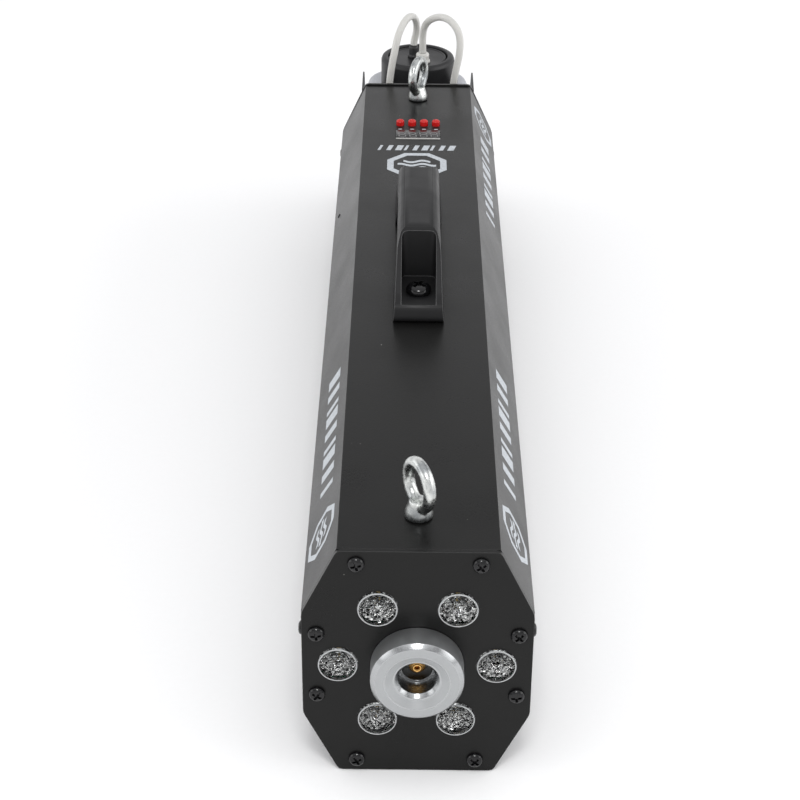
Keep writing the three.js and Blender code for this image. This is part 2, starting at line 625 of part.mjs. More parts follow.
// A bridge handle: an arched bar on two flared feet. Each end is pocketed from above and in front, so that its
// screw can be reached.
function handle() {
  const { halfLength, height, foot, halfWidth } = HANDLE;
  const base = halfLength + HANDLE_FLARE.end;
  const rise = [[-base, GAP], [-halfLength, foot], [-77, 12.5], [-50, 36], [-42, height]];
  const mirrored = rise.map(([y, z]) => [-y, z]).reverse();
  const gap = [[-44, GAP], [-40, 19], [-31, 28.5], [31, 28.5], [40, 19], [44, GAP]].reverse();
  const widest = halfWidth + HANDLE_FLARE.side;
  const side = extrudeX(outline([...rise, ...mirrored, ...gap]), -widest, widest);
  const section = extrudeY(outline([
    [-halfWidth - HANDLE_FLARE.side, 0], [-halfWidth, foot], [-halfWidth + 1.2, 33], [-10.2, 38.8],
    [-7, height + 0.1], [7, height + 0.1], [10.2, 38.8], [halfWidth - 1.2, 33], [halfWidth, foot],
    [halfWidth + HANDLE_FLARE.side, 0],
  ]), -base - 1, base + 1);
  const pocket = (way) => {
    const [near, far] = [way * (base + 1), way * POCKET.end].sort((a, b) => a - b);
    return box(-POCKET.halfWidth, POCKET.halfWidth, near, far, foot, height + 1);
  };
  const hole = (way) => rodZ(HANDLE_SCREW.hole, 0, way * HANDLE.screw, -1, foot + 1, 12);
  return cut(common(side, section), pocket(-1), pocket(1), hole(-1), hole(1));
}

// A domed screw standing on z = 0, with its shank below.
function domedScrew() {
  const { radius, height, shank, length } = HANDLE_SCREW;
  const dome = turned([
    [0, -length], [shank, -length], [shank, 0], [radius, 0], [radius, height * 0.25],
    [radius * 0.86, height * 0.65], [radius * 0.53, height * 0.92], [0, height],
  ], 16);
  return dome.rotateX(Math.PI / 2);
}

function nut({ outer, inner, height }) {
  return cut(rodZ(outer, 0, 0, 0, height, 6), rodZ(inner, 0, 0, -1, height + 1, 16));
}

// An eyebolt standing on z = 0: a collar that narrows into the eye, and a shank below.
function eyebolt() {
  const { ringRadius, wire, ringHeight, shank, shankLength } = EYES;
  const torus = new THREE.TorusGeometry(ringRadius, wire, 8, 24);
  const ring = torus.rotateX(Math.PI / 2).translate(0, 0, ringHeight);
  const base = turned([
    [0, -shankLength], [shank, -shankLength], [shank, 0], [6.9, 0], [6.9, 2.4], [6.3, 4.6],
    [5.2, 7], [4.2, 8.6], [0, 8.6],
  ], 16).rotateX(Math.PI / 2);
  return join(base, ring);
}

// ---------------------------------------------------------------- tank, cap and hoses

// A folded tray open at the top: a floor, two cheeks, a flange on the rear plate and a low rear lip.
function tankCradle() {
  const { halfWidth, floor, rear, lip, cheekTop, cheekFlat, flange } = CRADLE;
  const cheek = outline([[BACK, floor], [rear, floor], [rear, lip], [cheekFlat, cheekTop], [BACK, cheekTop]]);
  return join(
    extrudeX(cheek, -halfWidth, -halfWidth + SHEET),
    extrudeX(cheek, halfWidth - SHEET, halfWidth),
    box(-halfWidth, halfWidth, BACK, rear, floor, floor + SHEET),
    box(-halfWidth, halfWidth, BACK, BACK + SHEET, floor, flange),
    box(-halfWidth, halfWidth, rear - SHEET, rear, floor, lip),
  );
}

// One level of the tank: points round a rectangle whose corners are arcs.
function tankLevel([halfWidth, halfDepth, corner, z]) {
  const steps = 6;
  const quarters = [[1, 1, 0], [-1, 1, 90], [-1, -1, 180], [1, -1, 270]];
  return quarters.flatMap(([sx, sy, start]) => Array.from({ length: steps }, (_, i) => {
    const angle = THREE.MathUtils.degToRad(start + ((i + 0.5) * 90) / steps);
    return [
      sx * (halfWidth - corner) + corner * Math.cos(angle),
      TANK.y + sy * (halfDepth - corner) + corner * Math.sin(angle),
      z,
    ];
  }));
}

// A bottle: up the outside from the bottom, over the neck's rim and down the inside.
function tank() {
  const { halfWidth, halfDepth, bottom, shoulder, wall, neck } = TANK;
  const outside = [
    [halfWidth - 3, halfDepth - 3, 11, bottom], [halfWidth, halfDepth, 14, bottom + 3],
    [halfWidth, halfDepth, 14, shoulder - 13], [halfWidth - 1.6, halfDepth - 1.6, 14, shoulder - 6.5],
    [halfWidth - 6, halfDepth - 6, 14, shoulder - 2], [halfWidth - 12, halfDepth - 12, 16, shoulder],
    [neck + 1, neck + 1, neck + 1, shoulder + 0.8], [neck, neck, neck, shoulder + 2],
    [neck, neck, neck, NECK_TOP],
  ];
  const inside = outside.map(([w, d, r, z]) => [w - wall, d - wall, r - wall, Math.min(z, NECK_TOP)]).reverse();
  const innerLevels = inside.map(([w, d, r, z], i) => {
    const lowered = i > 0 && z > bottom + 1 ? z - wall : z;
    return [w, d, r, Math.max(lowered, bottom + wall)];
  });
  const levels = [...outside, ...innerLevels].map(tankLevel);
  const perLevel = levels[0].length;
  const positions = levels.flat();
  positions.push([0, TANK.y, bottom], [0, TANK.y, bottom + wall]);
  const [outerPole, innerPole] = [positions.length - 2, positions.length - 1];
  const lastStart = (levels.length - 1) * perLevel;
  const index = [];
  for (let i = 0; i < perLevel; i += 1) {
    const next = (i + 1) % perLevel;
    index.push(outerPole, next, i, innerPole, lastStart + i, lastStart + next);
    for (let level = 0; level < levels.length - 1; level += 1) {
      const [low, high] = [level * perLevel, (level + 1) * perLevel];
      index.push(low + i, low + next, high + next, low + i, high + next, high + i);
    }
  }
  const bottle = new THREE.BufferGeometry();
  bottle.setAttribute('position', new THREE.Float32BufferAttribute(positions.flat(), 3));
  bottle.setIndex(index);
  bottle.computeVertexNormals();
  return bottle;
}

function capRing() {
  const { radius, bottom, top, bore, lip } = CAP;
  return turnedZ(closed([
    [bore, bottom], [radius, bottom], [radius, top - 3], [radius - 0.9, top - 0.9], [radius - 2.7, top],
    [lip + 0.6, top], [lip, top - 0.6], [lip, 131.2], [bore, 131.2],
  ]), 0, TANK.y, 32);
}

function capDisc() {
  const disc = turnedZ([
    [0, 128.9], [22.9, 128.9], [22.9, 130.9], [21.9, 130.9], [21.9, DISC_TOP], [0, DISC_TOP],
  ], 0, TANK.y, 28);
  return cut(disc, ...[BARB_FEED, BARB_RETURN].map(({ x, y }) => rodZ(3.5, x, y, 128, DISC_TOP + 1, 12)));
}

function capGasket() {
  return turnedZ(closed([[16.5, 127.1], [22.5, 127.1], [22.5, 128.6], [16.5, 128.6]]), 0, TANK.y, 28);
}

// A hose barb through the cap: shank, flange on the disc, and collar where the hose begins.
function barb({ x, y }, flange, collar, top) {
  return turnedZ([
    [0, BARB_FOOT], [3.2, BARB_FOOT], [3.2, DISC_TOP + GAP], [flange, DISC_TOP + GAP], [flange, DISC_TOP + 1.5],
    [collar, DISC_TOP + 2.1], [collar, top], [0, top],
  ], x, y, 12);
}

function pickupTube() {
  const { x, y } = BARB_FEED;
  const { radius, bottom, filterRadius, filterBottom, filterTop } = PICKUP;
  return join(
    rodZ(radius, x, y, bottom, BARB_FOOT - GAP, 12),
    rodZ(filterRadius, x, y, filterBottom, filterTop, 16),
  );
}

// A right-angled fitting: upright for the hose, level through the rear plate, with a flange outside it.
function elbow(x) {
  const { y, z, top, radius, inner } = ELBOW;
  return join(
    rodZ(radius, x, y, z - radius, top, 16),
    rodY(radius, x, z, inner, y, 16),
    rodY(6, x, z, BACK, BACK + 1.5, 16),
  );
}

function hose(points) {
  return sweep(route(points), HOSE.radius, HOSE.sides, HOSE.steps);
}

function innerTube(points, radius) {
  return sweep(route(points), radius, INNER_TUBE.sides, INNER_TUBE.steps);
}

// ---------------------------------------------------------------- materials

function finish(color, roughness, metalness) {
  return new THREE.MeshStandardMaterial({ color, roughness, metalness });
}

const BLACK_PAINT = finish('#2e2e2f', 0.55, 0.1);
const BLACK_PLASTIC = finish('#1d1d1e', 0.6, 0);
const CAP_PLASTIC = finish('#242425', 0.5, 0);
const RED_PLASTIC = finish('#e3130f', 0.35, 0);
const ZINC = finish('#b9bec2', 0.3, 0.95);
const BLACK_STEEL = finish('#17171a', 0.25, 0.7);
const ALUMINIUM = finish('#c8cbce', 0.28, 0.95);
const CAST_ALUMINIUM = finish('#9a9b9a', 0.6, 0.8);
const BRASS = finish('#b08a3e', 0.3, 0.95);
const COPPER = finish('#b26b45', 0.35, 0.95);
const PLATED_STEEL = finish('#a3a7aa', 0.4, 0.85);
const CLEAR_LENS = finish('#dfe3e6', 0.05, 0);
const BOARD_GREEN = finish('#1f4d33', 0.5, 0);
const DISPLAY_BLACK = finish('#141415', 0.25, 0);
const INSULATION = finish('#cfc8b4', 0.95, 0);
const MILKY_PLASTIC = finish('#d5d8dc', 0.35, 0);
const SILICONE = finish('#dedfdd', 0.4, 0);
const RUBBER = finish('#2a2a2a', 0.85, 0);

// ---------------------------------------------------------------- assembly

const machine = new THREE.Group();

function add(name, geometry, material, place = [0, 0, 0], turnZ = 0) {
  const mesh = new THREE.Mesh(geometry, material);
  mesh.name = name;
  mesh.position.set(...place);
  mesh.rotation.z = THREE.MathUtils.degToRad(turnZ);
  machine.add(mesh);
}

function addCase() {
  add('top_cover', topCover(), BLACK_PAINT);
  add('bottom_tray', bottomTray(), BLACK_PAINT);
  add('front_plate', frontPlate(), BLACK_PAINT);
  add('rear_plate', rearPlate(), BLACK_PAINT);
}

function addNozzleAndLights() {
  add('nozzle_ring', nozzleRing(), ALUMINIUM);
  add('spray_nozzle', sprayNozzle(), BRASS);
  LED_PLACES.forEach((place, i) => add(`led_lens_${i + 1}`, ledLens(place), CLEAR_LENS));
  add('led_board', ledBoard(), BOARD_GREEN);
}

function addHeater() {
  add('heater_block', heaterBlock(), CAST_ALUMINIUM);
  add('heating_element', heatingElement(), PLATED_STEEL);
  add('heater_jacket', heaterJacket(), INSULATION);
  add('heater_bracket_front', heaterBracket(HEATER_BRACKETS.front, -1), PLATED_STEEL);
  add('heater_bracket_rear', heaterBracket(HEATER_BRACKETS.rear, 1), PLATED_STEEL);
  add('thermostat', thermostat(), PLATED_STEEL);
}

function addPump() {
  add('pump_body', pumpBody(), PLATED_STEEL);
  add('pump_plunger', pumpPlunger(), PLATED_STEEL);
  add('pump_spring', pumpSpring(), PLATED_STEEL);
  add('pump_bracket', pumpBracket(), PLATED_STEEL);
  add('feed_tube', innerTube(FEED_TUBE_ROUTE, INNER_TUBE.feedRadius), COPPER);
  add('suction_tube', innerTube(SUCTION_ROUTE, INNER_TUBE.radius), SILICONE);
  add('bleed_tube', innerTube(BLEED_ROUTE, INNER_TUBE.radius), SILICONE);
}

function addElectronics() {
  add('control_board', controlBoard(), BOARD_GREEN);
  add('display_module', displayModule(), DISPLAY_BLACK);
  BUTTON_PLACES.forEach((x, i) => add(`button_${i + 1}`, button(), RED_PLASTIC, [x, BUTTONS.y, HEIGHT]));
  add('power_board', powerBoard(), BOARD_GREEN);
  add('power_inlet', powerInlet(), BLACK_PLASTIC);
  add('inlet_screw_left', inletScrew(-1), BLACK_STEEL);
  add('inlet_screw_right', inletScrew(1), BLACK_STEEL);
  add('fuse_drawer', fuseDrawer(), BLACK_PLASTIC);
  add('switch_body', switchBody(), BLACK_PLASTIC);
  add('switch_rocker', switchRocker(), BLACK_PLASTIC, [SWITCH.x, LENGTH + 0.5, SWITCH.z]);
}

function addHandleAndEyebolts() {
  add('handle', handle(), BLACK_PLASTIC, [0, HANDLE.y, HEIGHT]);
  for (const [end, way] of [['front', -1], ['rear', 1]]) {
    const screwY = HANDLE.y + way * HANDLE.screw;
    add(`handle_screw_${end}`, domedScrew(), BLACK_STEEL, [0, screwY, HEIGHT + HANDLE.foot + GAP]);
    add(`handle_nut_${end}`, nut(NUTS.handle), ZINC, [0, screwY, INNER_TOP - GAP - NUTS.handle.height]);
    const { y, turn } = EYES[end];
    add(`eyebolt_${end}`, eyebolt(), ZINC, [0, y, HEIGHT + GAP], turn);
    add(`eyebolt_nut_${end}`, nut(NUTS.eyebolt), ZINC, [0, y, INNER_TOP - GAP - NUTS.eyebolt.height]);
  }
}

function addTankAndHoses() {
  add('tank_cradle', tankCradle(), BLACK_PAINT);
  add('tank', tank(), MILKY_PLASTIC);
  add('cap_ring', capRing(), CAP_PLASTIC);
  add('cap_disc', capDisc(), CAP_PLASTIC);
  add('cap_gasket', capGasket(), RUBBER);
  add('barb_feed', barb(BARB_FEED, 5.6, 4.9, HOSE_FEED_ROUTE[0][2] - GAP), SILICONE);
  add('barb_return', barb(BARB_RETURN, 4.5, 3.5, HOSE_RETURN_ROUTE[0][2] - GAP), BLACK_PLASTIC);
  add('pickup_tube', pickupTube(), SILICONE);
  add('elbow_feed', elbow(ELBOW.feedX), BLACK_PLASTIC);
  add('elbow_return', elbow(ELBOW.returnX), BLACK_PLASTIC);
  add('hose_feed', hose(HOSE_FEED_ROUTE), SILICONE);
  add('hose_return', hose(HOSE_RETURN_ROUTE), SILICONE);
}

addCase();
addNozzleAndLights();
addHeater();
addPump();
addElectronics();
addHandleAndEyebolts();
addTankAndHoses();

// The origin at the middle of the base, under the centre of the whole length.
machine.position.y = -(RING.front + CRADLE.rear) / 2;
const group = new THREE.Group();
group.add(machine);

export default group;
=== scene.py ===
"""Looks of the fog machine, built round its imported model.

The drawing is in millimetres, with Y measured from the outer face of the front plate, as in the part's
own source. at() turns a point of the drawing into the frame's metres.
"""

import json
import math
import random

import bmesh
import bpy
from mathutils import Euler, Matrix, Vector


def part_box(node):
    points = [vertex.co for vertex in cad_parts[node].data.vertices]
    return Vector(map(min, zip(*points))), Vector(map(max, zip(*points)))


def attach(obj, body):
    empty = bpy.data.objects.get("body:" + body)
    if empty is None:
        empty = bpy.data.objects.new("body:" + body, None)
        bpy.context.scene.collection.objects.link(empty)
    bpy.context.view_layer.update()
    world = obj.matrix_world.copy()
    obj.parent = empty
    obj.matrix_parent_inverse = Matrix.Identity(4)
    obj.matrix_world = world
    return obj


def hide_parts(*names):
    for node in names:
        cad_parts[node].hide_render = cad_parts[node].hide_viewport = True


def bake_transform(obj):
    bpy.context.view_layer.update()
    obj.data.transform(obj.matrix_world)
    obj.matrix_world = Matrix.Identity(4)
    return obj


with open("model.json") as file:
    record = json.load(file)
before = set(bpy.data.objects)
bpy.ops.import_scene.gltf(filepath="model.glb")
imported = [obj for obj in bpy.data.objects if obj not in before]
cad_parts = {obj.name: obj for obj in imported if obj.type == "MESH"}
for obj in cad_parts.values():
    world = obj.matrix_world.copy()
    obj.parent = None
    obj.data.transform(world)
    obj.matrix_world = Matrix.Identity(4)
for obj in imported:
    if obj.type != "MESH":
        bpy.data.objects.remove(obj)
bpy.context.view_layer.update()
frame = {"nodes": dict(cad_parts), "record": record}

MM = 0.001
FRONT_PLATE_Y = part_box("front_plate")[0].y

# ---- dimensions of the drawing

HEIGHT = 130.5
MIDDLE_Z = HEIGHT / 2
HALF_WIDTH = 55
HALF_FLAT = 38
CHAMFER_RUN = HALF_WIDTH - HALF_FLAT
CHAMFER_DROP = 35.5
CHAMFER_SPAN = math.hypot(CHAMFER_RUN, CHAMFER_DROP)
LENGTH = 596
GAP = 0.3

SCREW_EDGE = 7
PLATE_SCREWS = [(side * x, z) for side in (-1, 1) for x, z in (
    (29, SCREW_EDGE), (29, HEIGHT - SCREW_EDGE), (48, MIDDLE_Z - 18), (48, MIDDLE_Z + 18))]
REAR_SCREWS = [(x, z) for x, z in PLATE_SCREWS if z > SCREW_EDGE]
SIDE_SCREWS = {"z": 80, "from_end": 9}
CHAMFER_SCREW = {"y": 431, "down": 32.7}
LED_CIRCLE = 37.9
LEDS = [(LED_CIRCLE * math.cos(turn), MIDDLE_Z + LED_CIRCLE * math.sin(turn))
        for turn in (math.radians(60 * i) for i in range(6))]
LENS_FACE = -0.95
# Radii of the lens rim that gets a pale opaque colour: a painted highlight, the thin bright line round each
# lens.
HIGHLIGHT_RIM_RADII = (8.8, 9.5)
BEADS = {"pitch": 1.5, "height": 0.5, "inner": 3.3, "outer": 8.6}
RING = {"radius": 22.3, "front": -14.6, "bevel": 2.1, "inner": 15.6, "lip_outer": 11.4, "lip_inner": 10.8,
        "lip": -12.5, "bore_front": -10.5, "bore": 9, "ledge": -2.3, "throat": 7.5, "spigot": 9.9,
        "spigot_end": 5.3}
BUTTON = {"y": 519, "radius": 2.75, "top": HEIGHT + 4, "dome": 1.5}
BUTTON_X = [(i - 1.5) * 8.25 for i in range(4)]
BUTTON_MARK = {"half_width": 1.3, "front": 510.3, "rear": 511.6}
DISPLAY = {"half_width": 15.15, "front": 493.5, "rear": 507.5, "top": HEIGHT + 0.8}
DIGIT_X = [(i - 1.5) * 7.3 for i in range(4)]
STROKE = {"half_width": 0.42, "slant": 0.1, "shift": 1.3}
# Each eyebolt has its Y and the turn of its ring in degrees.
EYEBOLTS = {"eyebolt_front": (29.4, -63), "eyebolt_rear": (567.6, 68)}
EYE = {"ring": 10.9, "wire": 3.1, "height": 17.6, "shank": 4, "shank_length": 19}
HANDLE = {"y": 309.4, "half_length": 83, "height": 41, "foot": 10, "half_width": 13.5, "screw": 65.4,
          "end_flare": 3.6, "side_flare": 0.9}
POCKET = {"half_width": 9.8, "end": 45.5}
HANDLE_HOLE = 2.8
TANK = {"y": 648, "half_width": 38.5, "half_depth": 42.5, "bottom": 41.6, "shoulder": 111, "neck": 22.4,
        "neck_top": 126.8, "wall": 1.5}
CAP = {"radius": 27.5, "bottom": 113, "top": 134.5, "bore": 23.3, "lip": 22.2, "ledge": 131.2}
DISC = {"bottom": 128.9, "step": 130.9, "top": 133.4}
BARB_FEED = (3.4, 637)
BARB_RETURN = (-3.2, 647.8)
ELBOW = {"y": 600.5, "z": 101, "top": 112, "radius": 3.6, "inner": 582, "nut": 6, "feed_x": 25.2,
         "return_x": -21}
CONTACTS = [(-15.5, 23), (-8.5, 27), (-1.5, 23)]
CONTACT = {"half_width": 1.05, "half_height": 2.05, "inner": 583.5, "outer": 594.1}
HOSE_RADIUS = 2.6

HOSE_FEED = [
    (25.2, 600.5, 112.3), (25.3, 600.5, 121), (26.1, 600.5, 131), (27.7, 600.6, 141), (29.5, 601.3, 150),
    (30.2, 602.6, 159.5), (29.2, 604.8, 166.3), (26.4, 608, 171.2), (21.5, 613.5, 174.2),
    (14.8, 621.5, 173.2), (8, 629.5, 167.8), (4.5, 634.3, 161.1), (3.4, 636.6, 153.4), (3.4, 637, 147),
    (3.4, 637, 140.8),
]
HOSE_RETURN = [
    (-21, 600.5, 112.3), (-21, 600.5, 121), (-20.8, 600.5, 130), (-19.3, 601.2, 142.1), (-16.9, 603.5, 154.8),
    (-14.5, 608, 164.1), (-11.1, 616, 169.8), (-7.6, 625, 171.3), (-4.7, 632, 169.9), (-2.4, 639, 165.4),
    (-1.3, 644.5, 158.2), (-1.7, 647.2, 151.5), (-3, 647.8, 145.5), (-3.2, 647.8, 142.8),
]

# Each light has a place, the point it faces, its width and height, all in metres, and its power in watts.
LIGHTS = {
    "left": ((-1.9, -0.1, 0.9), (0, 0, 0.05), (2.4, 1.2), 9.5),
    "right": ((1.9, -0.1, 0.9), (0, 0, 0.05), (2.4, 1.2), 15),
    "front": ((0, -1.2, 1.6), (0, -0.2, 0.1), (0.4, 0.4), 10),
}


def at(x, y, z):
    """A point of the drawing as a point of the frame."""
    return Vector((x * MM, y * MM + FRONT_PLATE_Y, z * MM))


def placed(name, data):
    """A new object in the scene."""
    made = bpy.data.objects.new(name, data)
    bpy.context.scene.collection.objects.link(made)
    return made


# ---- camera, floor and light


def make_camera():
    """The photograph's view: from the front and above."""
    data = bpy.data.cameras.new("camera")
    data.lens = 85.74
    data.sensor_width = 36
    camera = placed("camera", data)
    camera.location = (-0.0069, -1.0621, 0.6318)
    camera.rotation_euler = Euler([math.radians(a) for a in (59.78, -0.42, 0.43)])
    bpy.context.scene.camera = camera


def make_world():
    """A pale studio, bright low down and overhead, with a dimmer band between them."""
    world = bpy.data.worlds.new("studio")
    world.use_nodes = True
    bpy.context.scene.world = world
    nodes, links = world.node_tree.nodes, world.node_tree.links
    background = nodes["Background"]
    place = nodes.new("ShaderNodeTexCoord")
    split = nodes.new("ShaderNodeSeparateXYZ")
    ramp = nodes.new("ShaderNodeValToRGB")
    links.new(place.outputs["Generated"], split.inputs[0])
    links.new(split.outputs["Z"], ramp.inputs["Fac"])
    links.new(ramp.outputs["Color"], background.inputs["Color"])
    bands = ((0.0, 0.63), (0.36, 1.0), (0.44, 0.88), (0.55, 0.335), (0.62, 0.235), (0.74, 0.86), (0.95, 0.9))
    for stop, _ in bands[2:]:
        ramp.color_ramp.elements.new(stop)
    for element, (stop, level) in zip(ramp.color_ramp.elements, bands):
        element.position = stop
        element.color = (level, level, level * 1.015, 1)
    background.inputs["Strength"].default_value = 1.16


def make_lights():
    for name, (location, target, size, power) in LIGHTS.items():
        data = bpy.data.lights.new(name, "AREA")
        data.shape = "RECTANGLE"
        data.size, data.size_y = size
        data.energy = power
        light = placed(name, data)
        light.location = location
        light.rotation_euler = (Vector(target) - Vector(location)).to_track_quat("-Z", "Y").to_euler()


def make_floor(material):
    mesh = bpy.data.meshes.new("floor")
    half = 6
    corners = [(-half, -half, 0), (half, -half, 0), (half, half, 0), (-half, half, 0)]
    mesh.from_pydata(corners, [], [(0, 1, 2, 3)])
    mesh.materials.append(material)
    floor = placed("floor", mesh)
    floor.location.z = -0.0005


# ---- materials


class Finish:
    """A material whose node tree is built step by step. Texture scales are per metre."""

    def __init__(self, name, color, roughness, metallic=0.0, **sockets):
        self.material = bpy.data.materials.new(name)
        self.material.use_nodes = True
        self.nodes = self.material.node_tree.nodes
        self.links = self.material.node_tree.links
        self.shader = self.nodes["Principled BSDF"]
        self.set("Base Color", (*color, 1))
        self.set("Roughness", roughness)
        self.set("Metallic", metallic)
        for socket, value in sockets.items():
            self.set(socket.replace("_", " "), value)
        self.place = self.nodes.new("ShaderNodeTexCoord").outputs["Object"]

    def feed(self, socket, value):
        """Links a value from another node to the socket, or sets it to a plain value."""
        if isinstance(value, bpy.types.NodeSocket):
            self.links.new(value, socket)
        else:
            socket.default_value = value

    def set(self, name, value):
        self.feed(self.shader.inputs[name], value)

    def node(self, kind, inputs, **settings):
        made = self.nodes.new(kind)
        for key, value in settings.items():
            setattr(made, key, value)
        for key, value in inputs.items():
            self.feed(made.inputs[key], value)
        return made

    def noise(self, scale, detail=3.0, vector=None):
        inputs = {"Vector": vector or self.place, "Scale": scale, "Detail": detail}
        return self.node("ShaderNodeTexNoise", inputs).outputs["Fac"]

    def cells(self, scale):
        inputs = {"Vector": self.place, "Scale": scale}
        return self.node("ShaderNodeTexVoronoi", inputs).outputs["Distance"]

    def spread(self, value, low, high, to_low, to_high):
        inputs = {"Value": value, "From Min": low, "From Max": high, "To Min": to_low, "To Max": to_high}
        return self.node("ShaderNodeMapRange", inputs).outputs["Result"]

    def combine(self, first, second, operation="ADD"):
        return self.node("ShaderNodeMath", {0: first, 1: second}, operation=operation).outputs[0]

    def times(self, first, second):
        return self.combine(first, second, "MULTIPLY")

    def blend(self, share, first, second):
        first = first if isinstance(first, bpy.types.NodeSocket) else (*first, 1)
        second = second if isinstance(second, bpy.types.NodeSocket) else (*second, 1)
        made = self.node("ShaderNodeMix", {0: share, 6: first, 7: second}, data_type="RGBA")
        return made.outputs[2]

    def roughness(self, noise, low, high):
        """Roughness from low to high, by a noise that lies mostly between 0.3 and 0.7."""
        self.set("Roughness", self.spread(noise, 0.3, 0.7, low, high))

    def bump(self, height, depth, strength=1.0):
        """depth is the height of the relief, in metres."""
        inputs = {"Height": height, "Distance": depth, "Strength": strength}
        self.set("Normal", self.node("ShaderNodeBump", inputs).outputs["Normal"])

    def edges(self, radius):
        """1 along the outer and inner edges and 0 on the faces between them."""
        rounded = self.node("ShaderNodeBevel", {"Radius": radius}, samples=4).outputs["Normal"]
        straight = self.node("ShaderNodeNewGeometry", {}).outputs["Normal"]
        inputs = {0: rounded, 1: straight}
        same = self.node("ShaderNodeVectorMath", inputs, operation="DOT_PRODUCT").outputs["Value"]
        return self.spread(same, 0.995, 0.9, 0.0, 1.0)

    def axis_distance(self, x, z):
        """Distance from a line along Y through x, z, in metres."""
        kind = "ShaderNodeVectorMath"
        centred = self.node(kind, {0: self.place, 1: (-x, 0, -z)}, operation="ADD").outputs[0]
        flat = self.node(kind, {0: centred, 1: (1, 0, 1)}, operation="MULTIPLY").outputs[0]
        return self.node(kind, {0: flat}, operation="LENGTH").outputs["Value"]


def scaled(color, factor):
    return tuple(min(1.0, c * factor) for c in color)


def powder_coat():
    """Fine orange-peel texture, lighter where the coat is thin on edges, and a few specks of dust."""
    made = Finish("powder_coat", (0.006, 0.006, 0.006), 0.3, Specular_IOR_Level=0.21)
    peel = made.noise(1300, 2)
    patches = made.noise(28, 2)
    edges = made.edges(0.0007)
    dust = made.spread(made.cells(130), 0.045, 0.035, 0.0, 1.0)
    rare = made.spread(made.noise(60, 1), 0.62, 0.64, 0.0, 1.0)
    specks = made.times(dust, rare)
    coat = made.blend(patches, (0.005, 0.005, 0.0048), (0.0075, 0.0075, 0.0072))
    worn = made.blend(made.times(edges, 0.5), coat, (0.075, 0.075, 0.075))
    made.set("Base Color", made.blend(specks, worn, (0.32, 0.32, 0.3)))
    made.set("Roughness", made.spread(made.combine(patches, peel), 0.7, 1.3, 0.27, 0.37))
    made.bump(peel, 0.00004)
    return made.material


def moulding(name, color, edge_wear_and_highlight, roughness, grain=2600, depth=0.000012, gloss=0.5):
    """A moulded plastic with a fine spark-eroded grain and paler edges: rubbed wear, and on the handle a
    painted highlight along its small edge radii.
    """
    made = Finish(name, color, roughness, Specular_IOR_Level=gloss)
    grains = made.cells(grain)
    clouds = made.noise(45, 3)
    edges = made.edges(0.0006)
    # Paler edges: wear, and on the handle a painted highlight along the edges.
    made.set("Base Color", made.blend(made.times(edges, 0.6), color, edge_wear_and_highlight))
    made.roughness(clouds, roughness - 0.06, roughness + 0.08)
    made.bump(grains, depth)
    return made.material


def red_plastic():
    made = Finish("red_plastic", (0.5, 0.005, 0.004), 0.18, Subsurface_Weight=0.1, Subsurface_Scale=0.001)
    clouds = made.noise(400, 2)
    edges = made.edges(0.0004)
    made.set("Base Color", made.blend(edges, (0.5, 0.005, 0.004), (0.7, 0.02, 0.015)))
    made.roughness(clouds, 0.16, 0.28)
    made.bump(clouds, 0.00001)
    return made.material


def zinc_plate():
    """Bright zinc over a forged surface: shallow dents, and patches that are duller than others."""
    made = Finish("zinc_plate", (0.5, 0.52, 0.52), 0.28, 1.0)
    dents = made.noise(230, 1)
    patches = made.noise(620, 4)
    broad = made.spread(made.noise(140, 2), 0.35, 0.65, 0.0, 1.0)
    edges = made.edges(0.0005)
    dull = made.blend(patches, (0.2, 0.215, 0.225), (0.42, 0.435, 0.435))
    bright = made.blend(patches, (0.55, 0.57, 0.56), (0.84, 0.85, 0.82))
    made.set("Base Color", made.blend(edges, made.blend(broad, dull, bright), (0.78, 0.79, 0.78)))
    made.roughness(patches, 0.2, 0.38)
    made.bump(made.combine(dents, made.times(patches, 0.16)), 0.0004, 0.5)
    return made.material


def black_plating():
    """Shiny black oxide under a clear coat."""
    made = Finish("black_plating", (0.004, 0.004, 0.0045), 0.14, 0.0, Coat_Weight=0.3, Coat_Roughness=0.04,
                  Specular_IOR_Level=0.25)
    clouds = made.noise(700, 3)
    edges = made.edges(0.0003)
    made.set("Base Color", made.blend(edges, (0.004, 0.004, 0.0045), (0.03, 0.03, 0.03)))
    made.roughness(clouds, 0.1, 0.22)
    made.bump(clouds, 0.00001)
    return made.material


